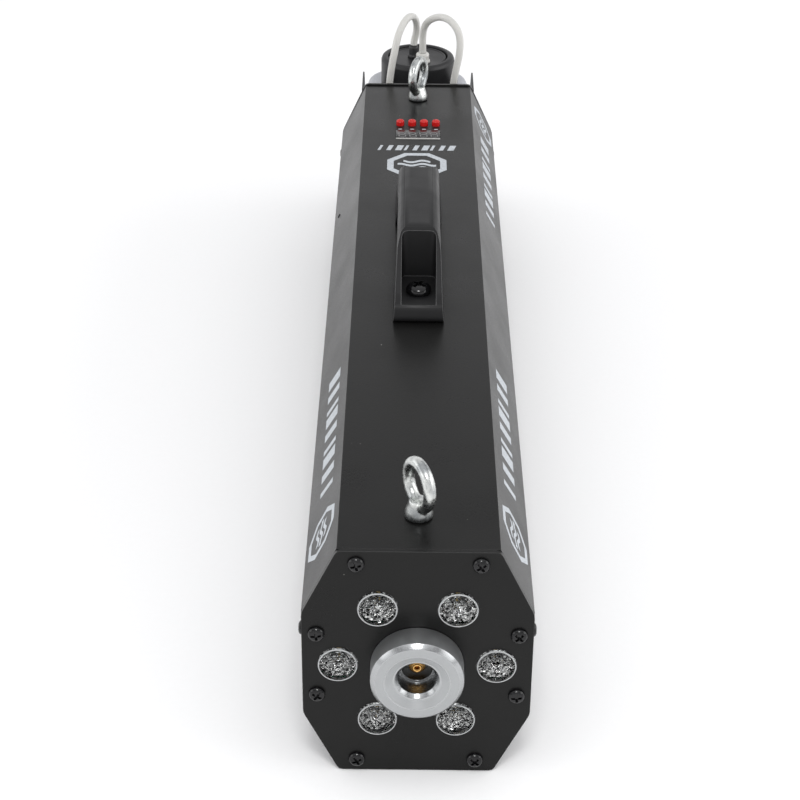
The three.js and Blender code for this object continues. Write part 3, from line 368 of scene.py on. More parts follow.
def turned_metal(name, color, centre, polished, frosted, bands, painted_shade_within=0.0):
    """Turned metal round an axis along Y: fine circular tool marks. bands are radii in millimetres
    between which the face is frosted, and inside the last radius the base colour is darker: painted shade in
    the bore."""
    made = Finish(name, color, polished, 1.0, Anisotropic=0.55, Anisotropic_Rotation=0.25)
    made.set("Tangent", made.node("ShaderNodeTangent", {}, direction_type="RADIAL", axis="Y").outputs[0])
    distance = made.axis_distance(*centre)
    along = made.node("ShaderNodeSeparateXYZ", {0: made.place}).outputs["Y"]
    circles = made.node("ShaderNodeCombineXYZ", {0: distance, 1: along}).outputs[0]
    marks = made.noise(5200, 2, circles)
    sparkle = made.noise(3000, 4)
    masks = []
    for inner, outer in bands:
        above = made.spread(distance, inner * MM, (inner + 0.15) * MM, 0.0, 1.0)
        below = made.spread(distance, (outer - 0.15) * MM, outer * MM, 1.0, 0.0)
        masks.append(made.times(above, below))
    dull = masks[0]
    for mask in masks[1:]:
        dull = made.combine(dull, mask, "MAXIMUM")
    grit = made.spread(sparkle, 0.3, 0.7, -0.06, 0.06)
    made.set("Roughness", made.combine(grit, made.spread(dull, 0, 1, polished, frosted)))
    pale, dark = scaled(color, 1.08), scaled(color, 0.6)
    # Painted shade: the base colour is darkened inside the given radius, in the ring's bore.
    painted_shade = made.spread(distance, (painted_shade_within - 0.1) * MM, (painted_shade_within + 0.1) * MM, 1.0, 0.0)
    made.set("Base Color", made.blend(painted_shade, made.blend(marks, color, pale), dark))
    made.bump(made.combine(marks, made.times(sparkle, dull)), 0.00002, 0.8)
    return made.material


def plain_metal(name, color, roughness, scale=900):
    made = Finish(name, color, roughness, 1.0)
    clouds = made.noise(scale, 4)
    edges = made.edges(0.0004)
    pale, dark = scaled(color, 1.2), scaled(color, 0.85)
    made.set("Base Color", made.blend(edges, made.blend(clouds, dark, color), pale))
    made.roughness(clouds, roughness - 0.07, roughness + 0.1)
    made.bump(clouds, 0.00004)
    return made.material


def facets():
    """The silvered cup behind a lens: small bumped facets, whose base colour is near black on some and white
    on others by a noise: painted glints with painted dark between them.
    """
    made = Finish("lens_facets", (0.9, 0.91, 0.9), 0.05, 1.0)
    cells = made.cells(820)
    painted_glint = made.spread(made.noise(950, 1), 0.46, 0.5, 0.0, 1.0)
    # Painted glint: white and near-black base colour in patches, standing in for the lens's sparkle.
    made.set("Base Color", made.blend(painted_glint, (0.04, 0.04, 0.042), (1.0, 1.0, 0.99)))
    made.set("Roughness", made.spread(cells, 0.2, 0.6, 0.03, 0.12))
    made.bump(cells, 0.0003)
    return made.material


def lens_plastic():
    made = Finish("lens_plastic", (0.97, 0.98, 0.98), 0.02, Transmission_Weight=1.0, IOR=1.2)
    clouds = made.noise(900, 2)
    made.set("Roughness", made.spread(clouds, 0.4, 0.7, 0.015, 0.05))
    made.bump(clouds, 0.000008)
    return made.material


def milky(name, color, roughness, scatter):
    """A translucent plastic or silicone: light travels through it and comes out soft."""
    made = Finish(name, color, roughness, Subsurface_Weight=0.7, Subsurface_Scale=scatter,
                  Subsurface_Radius=(1.0, 1.0, 1.0), IOR=1.45)
    clouds = made.noise(60, 3)
    fine = made.noise(1400, 2)
    edges = made.edges(0.0006)
    pale, dark = scaled(color, 1.12), scaled(color, 0.93)
    made.set("Base Color", made.blend(edges, made.blend(clouds, dark, color), pale))
    made.roughness(fine, roughness - 0.05, roughness + 0.08)
    made.bump(fine, 0.00001)
    return made.material


def rubber():
    made = Finish("rubber", (0.02, 0.02, 0.02), 0.8)
    fine = made.noise(2000, 3)
    made.set("Base Color", made.blend(fine, (0.016, 0.016, 0.016), (0.03, 0.03, 0.03)))
    made.roughness(fine, 0.72, 0.88)
    made.bump(fine, 0.00003)
    return made.material


def circuit_board():
    made = Finish("circuit_board", (0.03, 0.17, 0.09), 0.35)
    tracks = made.cells(260)
    fine = made.noise(900, 2)
    lines = made.spread(tracks, 0.42, 0.46, 0.0, 1.0)
    made.set("Base Color", made.blend(lines, (0.02, 0.13, 0.07), (0.04, 0.22, 0.11)))
    made.roughness(fine, 0.28, 0.42)
    made.bump(lines, 0.00002)
    return made.material


def glass_sleeve():
    """Woven glass insulation."""
    made = Finish("glass_sleeve", (0.62, 0.57, 0.45), 0.85, Sheen_Weight=0.3)
    wave = {"Vector": made.place, "Scale": 260.0, "Distortion": 1.5}
    across = made.node("ShaderNodeTexWave", wave, bands_direction="Y").outputs["Fac"]
    along = made.node("ShaderNodeTexWave", wave, bands_direction="Z").outputs["Fac"]
    weave = made.times(across, along)
    made.set("Base Color", made.blend(weave, (0.45, 0.4, 0.3), (0.7, 0.65, 0.52)))
    made.set("Roughness", made.spread(weave, 0, 1, 0.8, 0.95))
    made.bump(weave, 0.0003)
    return made.material


def print_ink():
    """Slightly worn pale ink."""
    made = Finish("print_ink", (0.5, 0.53, 0.56), 0.5)
    wear = made.noise(900, 4)
    even = made.spread(wear, 0.3, 0.6, 0, 1)
    made.set("Base Color", made.blend(even, (0.36, 0.385, 0.41), (0.5, 0.53, 0.56)))
    made.roughness(wear, 0.42, 0.6)
    made.bump(wear, 0.000006)
    return made.material


def plain_floor():
    made = Finish("floor_paper", (0.92, 0.92, 0.92), 0.7, Specular_IOR_Level=0.1)
    fine = made.noise(300, 2)
    made.set("Base Color", made.blend(fine, (0.91, 0.91, 0.91), (0.93, 0.93, 0.93)))
    return made.material


RING_CENTRE = (0.0, MIDDLE_Z * MM)
MATERIALS = {
    "case_paint": powder_coat(),
    # The handle's pale edge colour is a painted highlight along its small edge radii.
    "handle_plastic": moulding("handle_plastic", (0.01, 0.01, 0.0105), (0.2, 0.2, 0.2), 0.42, gloss=0.22),
    "black_plastic": moulding("black_plastic", (0.014, 0.014, 0.015), (0.05, 0.05, 0.05), 0.45),
    "rocker_plastic": moulding("rocker_plastic", (0.012, 0.012, 0.013), (0.04, 0.04, 0.04), 0.28, 900),
    "cap_plastic": moulding("cap_plastic", (0.013, 0.013, 0.014), (0.06, 0.06, 0.06), 0.4, 1500, gloss=0.35),
    "red_plastic": red_plastic(),
    "display_black": moulding("display_black", (0.01, 0.01, 0.011), (0.03, 0.03, 0.03), 0.22, 600, 0.000004),
    "zinc": zinc_plate(),
    "black_steel": black_plating(),
    # Inside 9.05 mm, in the bore, the ring's colour is darkened as painted shade.
    "turned_aluminium": turned_metal("turned_aluminium", (0.42, 0.43, 0.435), RING_CENTRE, 0.24, 0.48,
                                     [(11.5, 15.4), (15.8, 20), (22.2, 24)], 9.05),
    "cast_aluminium": plain_metal("cast_aluminium", (0.55, 0.55, 0.54), 0.45, 500),
    "brass": turned_metal("brass", (0.62, 0.36, 0.12), RING_CENTRE, 0.2, 0.35, [(2.4, 3.2)]),
    "copper": plain_metal("copper", (0.72, 0.38, 0.22), 0.28),
    "plated_steel": plain_metal("plated_steel", (0.56, 0.57, 0.58), 0.34),
    "insulation": glass_sleeve(),
    "clear_lens": lens_plastic(),
    "circuit_board": circuit_board(),
    "milky_plastic": milky("milky_plastic", (0.34, 0.35, 0.375), 0.38, 0.004),
    "silicone": milky("silicone", (0.56, 0.555, 0.53), 0.3, 0.003),
    "rubber_seal": rubber(),
}
EXTRA = {
    "ink": print_ink(),
    "segment": moulding("segment_grey", (0.14, 0.14, 0.14), (0.2, 0.2, 0.2), 0.4, 900),
    # The housing's pale colour shows as a thin line at the display's front edge: a painted highlight of the
    # window's edge.
    "housing": moulding("display_housing", (0.5, 0.5, 0.48), (0.6, 0.6, 0.6), 0.5, 900),
    "cup": facets(),
    "package": moulding("led_package", (0.008, 0.008, 0.008), (0.02, 0.02, 0.02), 0.5, 900),
    # A pale rim colour on each lens: painted highlight of its bright edge line.
    "rim_highlight": moulding("painted_rim_highlight", (0.4, 0.415, 0.42), (0.62, 0.62, 0.62), 0.3, 1400),
    "emitter": moulding("emitter_phosphor", (0.3, 0.2, 0.05), (0.4, 0.3, 0.12), 0.35, 2600),
}


# ---- mesh helpers


def mesh_of(points, faces):
    """A closed mesh from points of the drawing, with its normals outwards."""
    mesh = bpy.data.meshes.new("piece")
    mesh.from_pydata([at(*p) for p in points], [], faces)
    work = bmesh.new()
    work.from_mesh(mesh)
    bmesh.ops.remove_doubles(work, verts=work.verts, dist=1e-7)
    bmesh.ops.recalc_face_normals(work, faces=work.faces)
    work.to_mesh(mesh)
    work.free()
    return mesh


def shade(mesh, degrees=32):
    mesh.polygons.foreach_set("use_smooth", [True] * len(mesh.polygons))
    mesh.set_sharp_from_angle(angle=math.radians(degrees))


def piece(name, mesh, material, body, replaced=()):
    """Puts a mesh in the scene under its name, material, body and the CAD nodes it stands for."""
    mesh.name = name
    shade(mesh)
    mesh.materials.clear()
    mesh.materials.append(material)
    made = placed(name, mesh)
    if replaced:
        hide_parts(*replaced)
    if body:
        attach(made, body)
    return made


def slotted(name, mesh, slot, body, replaced=()):
    return piece(name, mesh, MATERIALS[slot], body, replaced)


def eased(points, reach, steps=4, closed=False):
    """The corners of a path in two dimensions replaced by short curves that start reach from them."""
    made = []
    count = len(points)
    for i, here in enumerate(points):
        if not closed and i in (0, count - 1):
            made.append(here)
            continue
        corner = Vector(here)
        before = Vector(points[i - 1]) - corner
        after = Vector(points[(i + 1) % count]) - corner
        size = min(reach, before.length * 0.45, after.length * 0.45)
        first = corner + before.normalized() * size
        last = corner + after.normalized() * size
        for step in range(steps + 1):
            t = step / steps
            made.append(tuple(first * (1 - t) ** 2 + corner * 2 * t * (1 - t) + last * t * t))
    return made


def lathe(profile, centre, axis="y", segments=96, closed=False):
    """A turned piece. The profile holds (radius, distance along the axis)."""
    points, rings = [], []
    for radius, along in profile:
        count = segments if radius > 1e-6 else 1
        ring = []
        for k in range(count):
            turn = 2 * math.pi * k / segments
            across = (centre[0] + radius * math.cos(turn), centre[1] + radius * math.sin(turn))
            ring.append(len(points))
            points.append((across[0], along, across[1]) if axis == "y" else (*across, along))
        rings.append(ring)
    pairs = list(zip(rings, rings[1:]))
    if closed:
        pairs.append((rings[-1], rings[0]))
    faces = []
    for first, second in pairs:
        for k in range(segments):
            following = (k + 1) % segments
            corners = [first[k % len(first)], first[following % len(first)],
                       second[following % len(second)], second[k % len(second)]]
            corners = list(dict.fromkeys(corners))
            if len(corners) > 2:
                faces.append(corners)
    return mesh_of(points, faces)


def between(outline, low, high, spot):
    """A solid between two copies of an outline; spot(a, b, along) gives the place of each point."""
    count = len(outline)
    points = [spot(a, b, along) for along in (low, high) for a, b in outline]
    faces = [list(range(count)), list(range(count, 2 * count))]
    faces += [[i, (i + 1) % count, count + (i + 1) % count, count + i] for i in range(count)]
    return mesh_of(points, faces)


def prism(outline, axis, low, high):
    """A straight prism. The outline is in Y and Z for axis x, X and Z for y, and X and Y for z."""
    def spot(a, b, along):
        return {"x": (along, a, b), "y": (a, along, b), "z": (a, b, along)}[axis]
    return between(outline, low, high, spot)


def block(x0, x1, y0, y1, z0, z1):
    return prism([(x0, y0), (x1, y0), (x1, y1), (x0, y1)], "z", z0, z1)


def carve(mesh, tools, operation="DIFFERENCE"):
    """The mesh after each tool is cut from it, joined to it or intersected with it."""
    base = placed("base", mesh)
    helpers = []
    for tool in tools:
        helper = placed("tool", tool)
        step = base.modifiers.new("carve", "BOOLEAN")
        step.object, step.operation, step.solver = helper, operation, "EXACT"
        helpers.append(helper)
    return settled(base, helpers)


def settled(base, helpers=()):
    """The object's mesh with its modifiers applied. The object and its helpers are removed."""
    graph = bpy.context.evaluated_depsgraph_get()
    made = bpy.data.meshes.new_from_object(base.evaluated_get(graph))
    for extra in (base, *helpers):
        bpy.data.objects.remove(extra)
    return made


def softened(mesh, width, segments=3, degrees=35):
    """The mesh with its edges rounded to the given width in millimetres."""
    base = placed("base", mesh)
    step = base.modifiers.new("round", "BEVEL")
    step.width = width * MM
    step.segments = segments
    step.angle_limit = math.radians(degrees)
    return settled(base)


def united(meshes):
    """Several meshes as one, each keeping its own shell."""
    work = bmesh.new()
    for mesh in meshes:
        work.from_mesh(mesh)
    made = bpy.data.meshes.new("piece")
    work.to_mesh(made)
    work.free()
    return made


def moved(mesh, matrix):
    made = mesh.copy()
    made.transform(matrix)
    return made


def route(points, per_span=8):
    """A smooth curve through the points: a centripetal Catmull-Rom curve."""
    spots = [Vector(p) for p in points]
    spots = [spots[0] * 2 - spots[1], *spots, spots[-1] * 2 - spots[-2]]
    made = []
    for p0, p1, p2, p3 in zip(spots, spots[1:], spots[2:], spots[3:]):
        t1 = math.sqrt((p1 - p0).length)
        t2 = t1 + math.sqrt((p2 - p1).length)
        t3 = t2 + math.sqrt((p3 - p2).length)
        for step in range(per_span):
            t = t1 + (t2 - t1) * step / per_span
            a1 = p0.lerp(p1, t / t1)
            a2 = p1.lerp(p2, (t - t1) / (t2 - t1))
            a3 = p2.lerp(p3, (t - t2) / (t3 - t2))
            b1 = a1.lerp(a2, t / t2)
            b2 = a2.lerp(a3, (t - t1) / (t3 - t1))
            made.append(b1.lerp(b2, (t - t1) / (t2 - t1)))
    made.append(spots[-2])
    return made


def tube(points, radius, sides=24):
    """A closed round tube along the points."""
    rings, corners = [], []
    side = Vector((0, 0, 1)) if abs((points[1] - points[0]).normalized().z) < 0.9 else Vector((1, 0, 0))
    for i, here in enumerate(points):
        along = (points[min(i + 1, len(points) - 1)] - points[max(i - 1, 0)]).normalized()
        side = (side - along * side.dot(along)).normalized()
        up = along.cross(side)
        rings.append(range(len(corners), len(corners) + sides))
        for k in range(sides):
            turn = 2 * math.pi * k / sides
            corners.append(here + side * radius * math.cos(turn) + up * radius * math.sin(turn))
    faces = [list(rings[0]), list(rings[-1])]
    for first, second in zip(rings, rings[1:]):
        for k in range(sides):
            following = (k + 1) % sides
            faces.append([first[k], first[following], second[following], second[k]])
    return mesh_of([tuple(c) for c in corners], faces)


# ---- hoses


def make_hose(name, node, points):
    centreline = route(points)
    hose = slotted(name, tube(centreline, HOSE_RADIUS), "silicone", None, [node])
    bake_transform(hose)


def make_elbow(name, x):
    """A right-angled hose tail with a hexagonal flange outside the rear plate."""
    y, z, top = ELBOW["y"], ELBOW["z"], ELBOW["top"]
    bend = [Vector((x, a, b)) for a, b in eased([(ELBOW["inner"], z), (y, z), (y, top)], 5, 8)]
    angles = [math.radians(60 * k + 30) for k in range(6)]
    hexagon = [(x + ELBOW["nut"] * math.cos(a), z + ELBOW["nut"] * math.sin(a)) for a in angles]
    nut = prism(hexagon, "y", LENGTH + GAP, LENGTH + 2.2)
    band = [(0, top - 3), (4.1, top - 3), (4.1, top - 0.4), (0, top - 0.4)]
    collar = lathe(eased(band, 0.4), (x, y), "z", 32)
    shell = united([tube(bend, ELBOW["radius"]), softened(nut, 0.3), collar])
    slotted(name + "_fitting", shell, "black_plastic", "case", [name])


# ---- front: ring, nozzle, lenses


def make_ring():
    r = RING
    front = r["front"]
    profile = [
        (r["bore"], r["bore_front"]), (r["bore"], r["ledge"]), (r["throat"], r["ledge"]),
        (r["throat"], r["spigot_end"]), (r["spigot"], r["spigot_end"]), (r["spigot"], -GAP),
        (r["radius"], -GAP), (r["radius"], front + r["bevel"]), (r["radius"] - r["bevel"], front),
        (r["inner"], front), (r["lip_outer"], r["lip"]), (r["lip_inner"], r["lip"]),
    ]
    mesh = lathe(eased(profile, 0.25, 3, True), (0, MIDDLE_Z), "y", 160, True)
    slotted("turned_ring", mesh, "turned_aluminium", "case", ["nozzle_ring"])


def make_nozzle():
    profile = [
        (0, 0.5), (0.9, 0.5), (0.9, -2.3), (1.5, -2.9), (2.1, -2.9), (2.3, -2.3), (2.6, -2.2), (3.1, -1.7),
        (4, -1.1), (4, 5), (3, 5), (3, 20), (0, 20),
    ]
    mesh = lathe(eased(profile, 0.2, 2), (0, MIDDLE_Z), "y", 64)
    slotted("brass_nozzle", mesh, "brass", "case", ["spray_nozzle"])


def bead_height(x, z):
    """Height of the beaded face at a point: close-packed domes."""
    pitch = BEADS["pitch"]
    row_step = pitch * math.sqrt(3) / 2
    row = round(z / row_step)
    nearest = pitch
    for r in (row - 1, row, row + 1):
        shift = pitch / 2 if r % 2 else 0
        column = round((x - shift) / pitch)
        for c in (column - 1, column, column + 1):
            nearest = min(nearest, math.hypot(x - c * pitch - shift, z - r * row_step))
    share = min(1.0, nearest / (pitch * 0.58))
    return BEADS["height"] * math.sqrt(1 - share * share)


def lens_mesh(centre):
    """One lens: a well in the middle of a beaded face, a bright rim, a flange behind the plate, and a
    paraboloid back with a hollow over the emitter."""
    face = LENS_FACE
    steps = 40
    inner, outer = BEADS["inner"], BEADS["outer"]
    front = [(0, 3.2), (1.2, 3.0), (2.1, 3.3), (2.5, 3.6), (2.7, 3.0), (2.9, 0.4), (3.05, face)]
    field = [(inner + (outer - inner) * k / steps, face) for k in range(steps + 1)]
    rim = [(8.85, -1.25), (9.05, -1.4), (9.3, -1.3), (9.5, -0.9), (9.5, 2.3), (10.5, 2.3), (10.5, 3.8),
           (9.6, 3.8)]
    back = [(8.9, 5), (7.9, 6.6), (6.6, 8.4), (5.3, 10), (4.2, 11.2), (2.4, 11.2), (2.3, 7), (1.6, 6.4),
            (0, 6.1)]
    mesh = lathe(front + field + rim + back, centre, "y", 120)
    middle = at(centre[0], 0, centre[1])
    for vertex in mesh.vertices:
        x, z = (vertex.co.x - middle.x) / MM, (vertex.co.z - middle.z) / MM
        if inner - 0.02 < math.hypot(x, z) < outer + 0.02 and vertex.co.y < at(0, face / 2, 0).y:
            vertex.co.y -= bead_height(x, z) * MM
    return mesh


def make_lenses():
    for i, centre in enumerate(LEDS, 1):
        made = slotted(f"beaded_lens_{i}", lens_mesh(centre), "clear_lens", "case", [f"led_lens_{i}"])
        made.data.materials.append(EXTRA["rim_highlight"])
        middle = at(centre[0], 0, centre[1])
        # The rim faces take the pale colour: painted highlight round the lens.
        for face in made.data.polygons:
            reach = math.hypot(face.center.x - middle.x, face.center.z - middle.z) / MM
            if HIGHLIGHT_RIM_RADII[0] < reach < HIGHLIGHT_RIM_RADII[1] and face.center.y < at(0, -0.9, 0).y:
                face.material_index = 1


def make_emitters():
    """Behind each lens: a silvered cup, the emitter's dome and the package that it stands on."""
    cup = [(9.9, 4.2), (9.2, 5.2), (8.2, 6.8), (6.9, 8.6), (5.6, 10.2), (4.5, 11.5), (4.1, 11.5), (5.2, 10),
           (6.5, 8.4), (7.8, 6.6), (8.8, 5), (9.5, 4.0)]
    dome = [(0, 9.8), (0.6, 9.95), (1.1, 10.5), (1.25, 11.3), (0, 11.3)]
    package = [(0, 11.25), (3.9, 11.25), (4, 11.35), (4, 11.75), (0, 11.75)]
    piece("lens_cups", united([lathe(cup, spot, "y", 64, True) for spot in LEDS]), EXTRA["cup"], "case")
    piece("led_emitters", united([lathe(dome, spot, "y", 24) for spot in LEDS]), EXTRA["emitter"], "case")
    piece("led_packages", united([lathe(package, spot, "y", 32) for spot in LEDS]), EXTRA["package"], "case")


# ---- screws


def cross_head(radius, height):
    """A domed head with a cross recess, standing on the origin and pointing up."""
    dome = lathe(eased([(0, 0), (radius, 0), (radius, height * 0.4), (radius * 0.8, height * 0.82),
                        (radius * 0.45, height), (0, height)], height * 0.2, 3), (0, 0), "z", 48)
    reach, width, depth = radius * 0.62, radius * 0.16, height * 0.62
    arms = [block(-reach, reach, -width, width, height - depth, height + 1),
            block(-width, width, -reach, reach, height - depth, height + 1)]
    return moved(carve(dome, arms), Matrix.Translation((0, -FRONT_PLATE_Y, 0)))


def screws(name, mesh, spots, direction, replaced=()):
    """Copies of one screw head at points of the drawing, all facing one way and each turned its own way."""
    aim = Vector(direction).to_track_quat("Z", "Y").to_matrix().to_4x4()
    heads = []
    for spot in spots:
        spin = Matrix.Rotation(random.uniform(0, math.pi / 2), 4, "Z")
        heads.append(moved(mesh, Matrix.Translation(at(*spot)) @ aim @ spin))
    slotted(name, united(heads), "black_steel", "case", replaced)


def make_screws():
    pan = cross_head(4.1, 2.6)
    screws("front_plate_screws", pan, [(x, 0, z) for x, z in PLATE_SCREWS], (0, -1, 0))
    screws("rear_plate_screws", pan, [(x, LENGTH, z) for x, z in REAR_SCREWS], (0, 1, 0))
    side = cross_head(3.4, 1.9)
    for name, way in (("left", -1), ("right", 1)):
        ends = (SIDE_SCREWS["from_end"], LENGTH - SIDE_SCREWS["from_end"])
        spots = [(way * HALF_WIDTH, y, SIDE_SCREWS["z"]) for y in ends]
        screws(f"side_screws_{name}", side, spots, (way, 0, 0))
    handle_head = cross_head(7.2, 4.8)
    for name, way in (("front", -1), ("rear", 1)):
        spot = (0, HANDLE["y"] + way * HANDLE["screw"], HEIGHT + GAP + HANDLE["foot"] + 0.1)
        screws(f"domed_screw_{name}", handle_head, [spot], (0, 0, 1), [f"handle_screw_{name}"])
    slope = math.atan2(CHAMFER_RUN, CHAMFER_DROP)
    spot = chamfer_point(-1, CHAMFER_SCREW["y"], CHAMFER_SCREW["down"])
    screws("chamfer_screw", cross_head(1.5, 0.7), [spot], (-math.cos(slope), 0, math.sin(slope)))


def chamfer_point(side, y, down):
    """A point on an upper sloping face, down millimetres below its upper fold."""
    across = HALF_FLAT + CHAMFER_RUN * down / CHAMFER_SPAN
    return (side * across, y, HEIGHT - CHAMFER_DROP * down / CHAMFER_SPAN)


# ---- handle and eyebolts


def make_handle():
    length, foot, top = HANDLE["half_length"], HANDLE["foot"], HANDLE["height"]
    half = HANDLE["half_width"]
    base_length, widest = length + HANDLE["end_flare"], half + HANDLE["side_flare"]
    # Y from the handle's middle, and the height above the case.
    rise = [(-base_length, GAP), (-length, foot), (-77, 12.5), (-50, 36), (-42, top)]
    opening = [(44, GAP), (40, 19), (31, 28.5), (-31, 28.5), (-40, 19), (-44, GAP)]
    side = eased(rise + [(-y, z) for y, z in reversed(rise)] + opening, 5, 6, True)
    # X, and the height above the case.
    section = [(-widest, -1), (-widest, 0), (-half, foot), (-half + 1.2, 33), (-10.4, 39), (-6, top + 0.05),
               (6, top + 0.05), (10.4, 39), (half - 1.2, 33), (half, foot), (widest, 0), (widest, -1)]
    y, base = HANDLE["y"], HEIGHT
    side = [(y + a, base + b) for a, b in side]
    section = [(a, base + b) for a, b in eased(section, 3.5, 6)]
    body = prism(side, "x", -widest - 1, widest + 1)
    body = carve(body, [prism(section, "y", y - base_length - 1, y + base_length + 1)], "INTERSECT")
    tools = []
    pocket = POCKET["half_width"]
    hole = [(0, base - 2), (HANDLE_HOLE, base - 2), (HANDLE_HOLE, base + foot + 1), (0, base + foot + 1)]
    for way in (-1, 1):
        far, near = y + way * POCKET["end"], y + way * (length + 6)
        plan = eased([(-pocket, near), (-pocket, far), (pocket, far), (pocket, near)], 4, 6)
        tools.append(prism(plan, "z", base + foot, base + top + 5))
        tools.append(lathe(hole, (0, y + way * HANDLE["screw"]), "z", 32))
    body = softened(carve(body, tools), 0.4, 3, 40)
    slotted("carry_handle", body, "handle_plastic", "case", ["handle"])


def make_eyebolts():
    """Forged eyebolts: the ring, neck and collar run into each other."""
    angles = [math.radians(15 * k) for k in range(24)]
    wire = [(EYE["ring"] + EYE["wire"] * math.cos(a), EYE["wire"] * math.sin(a)) for a in angles]
    collar = eased([(0, 0), (6.9, 0), (6.9, 2.2), (6.3, 4.6), (5.3, 7), (4.6, 9.4), (0, 9.8)], 0.6, 3)
    thick, depth = EYE["shank"], EYE["shank_length"]
    rod = eased([(0, -depth), (thick, -depth), (thick, 1), (0, 1)], 0.4)
    for name, (y, turn) in EYEBOLTS.items():
        ring = lathe(wire, (0, EYE["height"]), "y", 72, True)
        shank = lathe(rod, (0, 0), "z", 40)
        joined = carve(ring, [lathe(collar, (0, 0), "z", 64), shank], "UNION")
        joined.transform(Matrix.Translation((0, -FRONT_PLATE_Y, 0)))
        place = Matrix.Translation(at(0, y, HEIGHT + GAP))
        joined.transform(place @ Matrix.Rotation(math.radians(turn), 4, "Z"))
        body = placed("base", joined)
        remesh = body.modifiers.new("forge", "REMESH")
        remesh.mode, remesh.voxel_size = "VOXEL", 0.45 * MM
        smooth = body.modifiers.new("smooth", "SMOOTH")
        smooth.factor, smooth.iterations = 0.6, 8
        mesh = settled(body)
        made = slotted(name.replace("eyebolt", "forged_eye"), mesh, "zinc", "case", [name])
        shade(made.data, 80)


# ---- display and buttons


def make_buttons():
    radius, top, rise = BUTTON["radius"], BUTTON["top"], BUTTON["dome"]
    angles = [math.radians(a) for a in range(0, 90, 10)]
    dome = [(radius * math.cos(a), top - rise + rise * math.sin(a)) for a in angles]
    for i, x in enumerate(BUTTON_X, 1):
        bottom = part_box(f"button_{i}")[0].z / MM
        mesh = lathe([(0, bottom), (radius, bottom), *dome, (0, top)], (x, BUTTON["y"]), "z", 48)
        slotted(f"red_button_{i}", mesh, "red_plastic", f"button_{i}", [f"button_{i}"])


SEGMENTS = {
    "top": ((-1.8, 4), (1.8, 4)), "middle": ((-1.8, 0), (1.8, 0)), "bottom": ((-1.8, -4), (1.8, -4)),
    "left_high": ((-2.15, 0.35), (-2.15, 3.65)), "right_high": ((2.15, 0.35), (2.15, 3.65)),
    "left_low": ((-2.15, -3.65), (-2.15, -0.35)), "right_low": ((2.15, -3.65), (2.15, -0.35)),
}


def segment_bar(start, end, half_width):
    """A six-sided bar between two points."""
    first, last = Vector(start), Vector(end)
    along = (last - first).normalized()
    side = Vector((-along.y, along.x)) * half_width
    inset = along * half_width
    corners = [first, first + inset + side, last - inset + side,
               last, last - inset - side, first + inset - side]
    return [tuple(c) for c in corners]


def make_display():
    half, front, rear, top = (DISPLAY[k] for k in ("half_width", "front", "rear", "top"))
    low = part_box("display_module")[0].z / MM
    # The pale housing stands out round the black face as a thin bright line: painted highlight.
    housing = softened(block(-half, half, front, rear, low, top - 0.15), 0.15, 2)
    piece("display_housing", housing, EXTRA["housing"], "case", ["display_module"])
    face = softened(block(-half + 0.05, half - 0.05, front + 0.35, rear - 0.05, top - 0.2, top), 0.08, 2)
    slotted("display_face", face, "display_black", "case")
    strokes = []
    middle = (front + rear) / 2 - STROKE["shift"]
    for x in DIGIT_X:
        for start, end in SEGMENTS.values():
            bar = segment_bar(start, end, STROKE["half_width"])
            lean = [(x - a + b * STROKE["slant"], middle - b) for a, b in bar]
            strokes.append(prism(lean, "z", top - 0.05, top + 0.04))
    piece("display_segments", united(strokes), EXTRA["segment"], "case")


# ---- printed marks

INK = {"bottom": 0.01, "top": 0.06}
TOP_BADGE = {"u": -0.8, "v": 449, "radius": 21.3, "width": 4.6}
SLOPE_BADGE = {"v": 20.5, "radius": 16, "width": 3.4}
SLOPE_BADGE_Y = {"front": 42, "rear": 563}
BAR_COUNT = 9

# Each row of bars has its start and end along u, then along v.
TOP_BARS = (-27.5, 25.5, 473.5, 482)
FRONT_BARS = (74, 194, 10.5, 25.5)
REAR_BARS = (400, 535, 14, 28)


def printed(name, shapes, spot):
    """Thin printed shapes. Each is an outline in two dimensions; spot(u, v, lift) gives its place."""
    layers = [between(outline, INK["bottom"], INK["top"], spot) for outline in shapes]
    piece(name, united(layers), EXTRA["ink"], "case")


def badge(u, v, radius, width):
    """A plain eight-sided frame round three drifting bands of fog."""
    shapes = []
    angles = [math.radians(45 * k + 22.5) for k in range(9)]
    corners = [(math.cos(a), math.sin(a)) for a in angles]
    for (a, b), (c, d) in zip(corners, corners[1:]):
        inner = radius - width
        shapes.append([(u + a * radius, v + b * radius), (u + c * radius, v + d * radius),
                       (u + c * inner, v + d * inner), (u + a * inner, v + b * inner)])
    for row, share in ((-1, 0.42), (0, 0.6), (1, 0.42)):
        steps = 16
        reach = radius * share
        curve = []
        for k in range(steps + 1):
            a = -reach + 2 * reach * k / steps
            curve.append((a, row * radius * 0.26 + radius * 0.07 * math.sin(a / radius * 9)))
        thick = radius * 0.07
        upper = [(u + a, v + b + thick) for a, b in curve]
        lower = [(u + a, v + b - thick) for a, b in reversed(curve)]
        shapes.append(upper + lower)
    return shapes


def bars(u0, u1, v0, v1):
    """A row of slanted bars in three widths."""
    shapes = []
    pitch = (u1 - u0) / BAR_COUNT
    lean = pitch * 0.35
    for k in range(BAR_COUNT):
        left = u0 + k * pitch
        right = left + pitch * (0.32 + 0.4 * (k % 3) / 2)
        shapes.append([(left, v0), (right, v0), (right + lean, v1), (left + lean, v1)])
    return shapes


